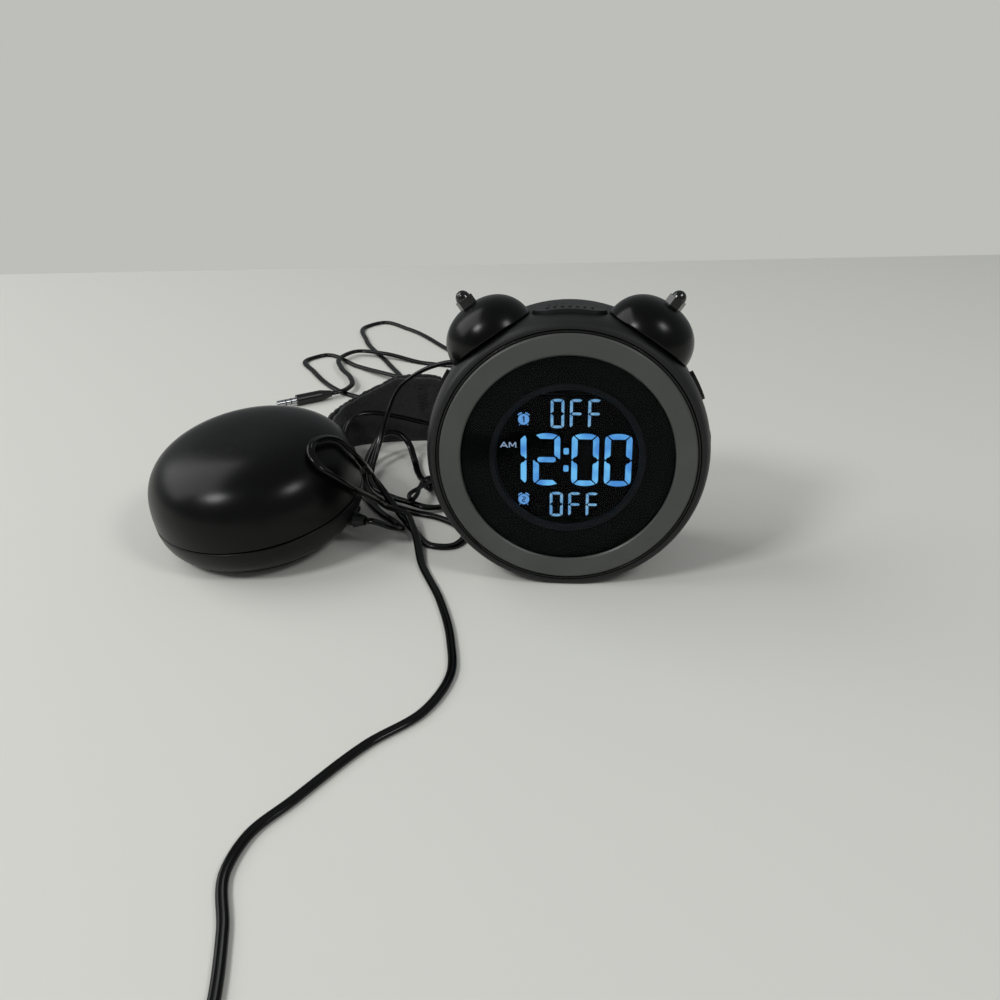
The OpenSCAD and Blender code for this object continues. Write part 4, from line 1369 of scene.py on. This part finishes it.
        rows = np.arange(5.0, 30.0, 0.9)
        left = -73.6 + 4.6 * (np.arange(len(rows)) % 2)
        threads = [sewn(left, rows, 0.24)]
        for height in (2.6, 30.4):
            starts = np.arange(-100.0, -66.0, 2.4)
            for x in starts[self.height(starts) > height + 1.5]:
                spot = np.array([x, x + 0.8, x + 1.6])
                threads.append(sewn(spot, np.full(3, height), 0.2))
        return Patch.joined(threads)

    def build(self, fabric: bpy.types.Material, thread: bpy.types.Material) -> None:
        """Builds the strap's fabric and its stitches.

        Args:
            fabric: Finish of the fabric.
            thread: Finish of the thread.
        """
        cloth = Patch.joined([self.band(), self.fold(), self.run()])
        cloth.piece("strap_fabric", fabric, Slot.STRAP, "puck_strap")
        self.stitches().piece("strap_stitches", thread, Slot.STRAP)


@dataclass
class WireTie:
    """The coated wire that is twisted round two runs of the cord.

    Attributes:
        middle: Middle of its winding.
        heading: Direction of the winding's axis in degrees.
        tail: Where its doubled tail ends.
        radius: Radius of the winding.
        length: Length of the winding.
        wire: Thickness of the wire in the winding and in the tail, halved.
    """

    middle: Triple = (-61.5, 47.5, 3.6)
    heading: float = 137.0
    tail: Triple = (-66.5, 29.5, 6.4)
    radius: float = 2.72
    length: float = 3.0
    wire: tuple[float, float] = (0.66, 1.0)

    def build(self, coating: bpy.types.Material) -> bpy.types.Object:
        """Winds the wire: up one tail, twice round the cords, down the other.

        Args:
            coating: Its finish.

        Returns:
            The tie.
        """
        heading = math.radians(self.heading)
        axis = np.array([math.cos(heading), math.sin(heading), 0.0])
        side = np.array([-axis[1], axis[0], 0.0])
        turn = np.linspace(0.35 * math.pi, 4.65 * math.pi, 64)
        share = (turn - turn[0]) / (turn[-1] - turn[0]) - 0.5
        helix = (
            np.array(self.middle)
            + self.length * share[:, None] * axis
            - self.radius * np.cos(turn)[:, None] * side
            + self.radius * np.sin(turn)[:, None] * [0.0, 0.0, 1.0]
        )
        apart, tip = np.array([1.25, 0.3, 0.0]), [0, -1.2, -0.4]
        tails = []
        for off, touch in ((-apart, helix[0]), (apart, helix[-1])):
            end = np.array(self.tail) + off
            tails.append([end - off * 0.6 + tip, end, (end + touch) / 2 + [0, 0, 0.9]])
        route = np.concatenate([tails[0], helix, tails[1][::-1]])
        path = smooth_path(route, 0.4)
        reach = np.linalg.norm(path - np.array(self.middle), axis=1)
        thin, thick = self.wire
        size = thin + (thick - thin) * np.clip((reach - 3.4) / 4.0, 0.0, 1.0)
        wire = arc(0.0, 2 * math.pi, 10, whole=False)
        tie = swept(path, wire, level_across(path, 3), size)
        return tie.piece("wire_tie", coating, Slot.CORD, "hank_tie")


# ---------------------------------------------------------------- lit figures


class Bar(Enum):
    """The bars of a seven-bar figure: across at the top, down the right, and so on."""

    TOP = "a"
    RIGHT_UPPER = "b"
    RIGHT_LOWER = "c"
    BOTTOM = "d"
    LEFT_LOWER = "e"
    LEFT_UPPER = "f"
    MIDDLE = "g"


FIGURES = {"0": "abcdef", "1": "bc", "2": "abged", "O": "abcdef", "F": "aefg"}


@dataclass(frozen=True)
class Face:
    """Sizes of a set of seven-bar figures.

    Attributes:
        w: Half a figure's width.
        h: Half its height.
        s: Thickness of a bar.
        cut: Width of the gaps between the bars.
    """

    w: float
    h: float
    s: float
    cut: float

    def bar(self, which: Bar) -> np.ndarray:
        """Draws one bar of a figure about the figure's middle.

        The upright bars have slanted outer ends and a hollow where they meet
        the middle bar; the top bar is bowed and the middle one has round ends.

        Args:
            which: The bar.

        Returns:
            Outline, anticlockwise.
        """
        w, h, s, cut = self.w, self.h, self.s, self.cut
        if which is Bar.MIDDLE:
            reach, r = w - 0.62 * s - cut, 0.46 * s
            end = r * arc(-math.pi / 2, math.pi / 2, 7) + [reach - r, 0.0]
            return np.concatenate([end, -end])
        if which in (Bar.TOP, Bar.BOTTOM):
            bow = np.linspace(1.0, -1.0, 9)
            reach, foot = w - 0.42 * s - cut, w - 1.12 * s - cut
            bowed = np.stack([reach * bow, h - 0.36 * s * np.abs(bow) ** 2.4], 1)
            outline = np.concatenate([bowed, [[-foot, h - s], [foot, h - s]]])
        else:
            top, low = h - 0.42 * s, 0.5 * cut + 0.05 * s
            outline = np.array(
                [
                    [w - s, h - 1.12 * s - cut * 0.4],
                    [w - s, 0.95 * s],
                    [w - 0.8 * s, 0.62 * s],
                    [w - 0.45 * s, 0.5 * s],
                    [w - 0.12 * s, low],
                    [w, low + 0.16 * s],
                    [w, h - 1.1 * s],
                    [w - 0.1 * s, h - 0.7 * s],
                    [w - 0.3 * s, top - cut * 0.2],
                ]
            )
        across = which in (Bar.LEFT_UPPER, Bar.LEFT_LOWER)
        down = which in (Bar.BOTTOM, Bar.RIGHT_LOWER, Bar.LEFT_LOWER)
        outline = outline * [-1.0 if across else 1.0, -1.0 if down else 1.0]
        return outline[::-1] if across != down else outline


@dataclass
class Figures:
    """The lit figures, letters and small alarm signs on the display.

    Every mark is a thin flat plate on the display's glass. Places are on the
    clock's own axes, x to the right and z up.

    Attributes:
        front: Depth of the plates' front.
        back: Depth of their back.
        rise: Height of the display's middle above the clock's axis.
    """

    front: float = 3.705
    back: float = 3.8
    rise: float = -0.7

    def plate(self, outline: np.ndarray) -> Patch:
        """Makes a flat plate from its outline, anticlockwise as the viewer sees it.

        Args:
            outline: Points (x, z), shape (n, 2), round a shape that its middle
                can see whole.

        Returns:
            The closed plate.
        """
        x, z = outline[:, 0], outline[:, 1] + self.rise
        rows = np.stack([clock_points(x, d, z) for d in (self.front, self.back)])
        return net(rows, np.repeat(outline[None], 2, axis=0))

    def figure(self, face: Face, sign: str, x: float, z: float) -> list[Patch]:
        """Sets one figure or letter at a place on the display."""
        return [self.plate(face.bar(Bar(mark)) + [x, z]) for mark in FIGURES[sign]]

    def time(self) -> Patch:
        """Sets twelve o'clock with its colon."""
        face, plates = Face(4.85, 10.0, 2.1, 0.22), []
        for sign, x in (("1", -19.5), ("2", -7.4), ("0", 6.4), ("0", 18.2)):
            plates += self.figure(face, sign, x, 0.0)
        dot = arc(0.0, 2 * math.pi, 20, whole=False)
        dot = np.sign(dot) * np.abs(dot) ** 0.45 * [0.95, 1.2]
        plates += [self.plate(dot + [-0.4, z]) for z in (-3.3, 3.3)]
        return Patch.joined(plates)

    def rows(self) -> Patch:
        """Sets OFF above and below the time."""
        plates = []
        for z, h in ((17.3, 5.4), (-17.4, 4.85)):
            for sign, x in (("O", -3.7), ("F", 3.1), ("F", 9.5)):
                plates += self.figure(Face(2.4, h, 1.0, 0.14), sign, x, z)
        return Patch.joined(plates)

    def letters(self) -> Patch:
        """Sets AM from straight strokes 0.42 mm wide."""
        low, high = 4.45, 6.5
        strokes = (
            ((-24.0, low), (-22.75, high)),
            ((-21.5, low), (-22.75, high)),
            ((-23.5, low + 0.65), (-22.0, low + 0.65)),
            ((-20.8, low), (-20.8, high)),
            ((-20.7, high), (-19.65, low + 0.5)),
            ((-18.6, high), (-19.65, low + 0.5)),
            ((-18.5, low), (-18.5, high)),
        )
        plates = []
        for start, end in np.array(strokes):
            x, z = unit(end - start)
            off = 0.21 * np.array([-z, x])
            corners = [start + off, start - off, end - off, end + off]
            plates.append(self.plate(np.array(corners)))
        return Patch.joined(plates)

    def signs(self) -> tuple[Patch, Patch]:
        """Draws the two alarm signs and their dark numbers.

        Returns:
            The lit discs with bells and feet, and the dark marks on them.
        """
        disc = arc(0.0, 2 * math.pi, 28, whole=False) * 2.0
        rim = arc(math.radians(38.0), math.radians(76.0), 7)
        bell = np.concatenate([rim * 2.75, rim[::-1] * 2.3])
        foot = np.array([[1.15, -1.95], [1.5, -2.3], [1.7, -2.15], [1.4, -1.75]])
        one = np.array(
            [[-0.1, -1.1], [0.35, -1.1], [0.35, 1.15], [0, 1.15], [-0.5, 0.7]]
            + [[-0.1, 0.6]]
        )
        x, upper, lower = -15.65, 15.1, -15.6
        lit = []
        for z in (upper, lower):
            lit.append(self.plate(disc + [x, z]))
            for side in (-1, 1):
                for shape in (bell, foot):
                    lit.append(self.plate((shape * [side, 1.0])[::side] + [x, z]))
        ink = Figures(self.front - 0.05, self.front - 0.01)
        dark = [ink.plate(one + [x, upper])]
        dark += ink.figure(Face(0.75, 1.1, 0.42, 0.02), "2", x, lower)
        return Patch.joined(lit), Patch.joined(dark)

    def build(self) -> None:
        """Builds all the marks with their finishes."""
        blue = Lit("lit segments, sky blue", "#4c8cd0", "#70bcec")
        pale = Lit("lit segments, pale blue", "#5c90bc", "#84b0d0", 1.6)
        white = Lit("lit letters, blue white", "#8696ae", "#94a6be", 1.0)
        cool = Lit("lit alarm signs, blue", "#5c90c8", "#6ba2dc", 1.0)
        ink = Moulded("opaque black ink", "#04060c", "#070a12", 0.5)
        signs, numbers = self.signs()
        for name, patch, finish, *replaced in (
            ("time_figures", self.time(), blue, "time_digits"),
            ("alarm_rows", self.rows(), pale),
            ("morning_letters", self.letters(), white),
            ("alarm_signs", signs, cool),
            ("alarm_numbers", numbers, ink),
        ):
            material = finish.material()
            patch.piece(name, material, Slot.DIGITS, *replaced, smooth=False)


# ---------------------------------------------------------------- studio


@dataclass
class Studio:
    """Pale table that ends behind the object, in a pale room with soft lamps.

    Attributes:
        table: Colour of the table.
        room: Colour that the camera sees beyond it.
        sky: Colour and strength of the room's light.
        edge: How far behind the clock the table ends.
        skew: Slope of that edge across the view.
        reach: How far the table goes the other ways.
        lamps: Name, place, aim, size and watts of each lamp.
    """

    table: str = "#dfdfd8"
    room: str = "#bebeba"
    sky: tuple[str, float] = ("#dfe2e4", 0.3)
    edge: float = 457.0
    skew: float = 0.0688
    reach: float = 3000.0
    lamps: tuple[tuple[str, Triple, Triple, float, float], ...] = (
        ("left_ceiling_light", (-860, -660, 1120), (-40, 0, 40), 320, 7.0),
        ("right_ceiling_light", (880, -540, 1180), (-40, 0, 40), 340, 4.6),
        ("window_light", (-1450, 330, 1200), (-60, 160, 0), 1500, 15.0),
    )

    def backdrop(self) -> bpy.types.Object:
        """Makes the table, with no wall, so that every side can be seen.

        Returns:
            The backdrop, which is not part of the object.
        """
        across = np.linspace(-self.reach, self.reach, 5)
        along = np.array([-self.reach, -600.0, self.edge])
        x, y = np.meshgrid(across, along)
        points = np.stack([x, y + self.skew * x, 0 * x], axis=-1)[:, ::-1]
        board = Painted("matt white table board", self.table).material()
        floor = net(points, points[..., :2], ring=False).body("studio_backdrop", board)
        return floor

    def lights(self) -> None:
        """Lights the scene at a plain level: a pale world and three soft lamps."""
        scene = bpy.context.scene
        scene.view_settings.view_transform = "Standard"
        world = bpy.data.worlds.new("pale room")
        world.use_nodes = True
        scene.world = world
        tree = world.node_tree
        tree.nodes.clear()
        colour, strength = self.sky
        sky = add(tree, "Background", {"Color": linear(colour), "Strength": strength})
        seen = add(tree, "Background", {"Color": linear(self.room)})
        sight = add(tree, "LightPath", output="Is Camera Ray")
        both = add(tree, "MixShader", {0: sight, 1: sky, 2: seen})
        add(tree, "OutputWorld", {"Surface": both})
        for name, place, aim, size, watts in self.lamps:
            data = bpy.data.lights.new(name, "AREA")
            data.shape = "SQUARE"
            data.size = size * MM
            data.energy = watts
            back = unit(np.subtract(place, aim).astype(float))
            right = unit(np.cross([0.0, 0.0, 1.0], back))
            posed(name, data, place, [right, np.cross(back, right), back])


def main() -> None:
    """Loads the frame, builds every sub-assembly in order and notes the sizes."""
    logging.basicConfig(level=logging.INFO, format="%(name)s: %(message)s")
    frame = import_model()
    nodes = frame["nodes"]
    Viewpoint().camera()
    jacket = Jacket().material()
    FlatCord(
        "shaker_cord_flat", SHAKER_ROUTE, 1.0, ("shaker_cord",), ("shaker_plug",)
    ).build(jacket, nodes)
    tie = WireTie().build(jacket)
    FlatCord(
        "power_cord_flat",
        np.concatenate([POWER_ROUTE, Winding().points(), PLUG_ROUTE]),
        1.5,
        ("power_cord", "power_coil"),
        ("usb_plug", "coil_tie", "power_plug", "wire_tie"),
    ).build(jacket, {**nodes, "wire_tie": tie})
    Solids(nodes).dress()
    lacquer = Moulded(
        "soft-touch black lacquer", "#060606", "#0a0a0a", 0.29, mottle=30.0, ior=1.28
    )
    pan = Moulded("moulded black ABS pan", "#070707", "#0b0b0b", 0.34, ior=1.3)
    paint = Moulded(
        "black painted steel", "#020202", "#050505", 0.24, relief=0.002, ior=1.3
    )
    thread = Moulded("twisted black thread", "#101011", "#1c1c1d", 0.6)
    Puck().build(lacquer.material(), pan.material())
    Bells().build(paint.material())
    Figures().build()
    Strap().build(Napped().material(), thread.material())
    studio = Studio()
    studio.backdrop()
    studio.lights()


if __name__ == "__main__":
    main()
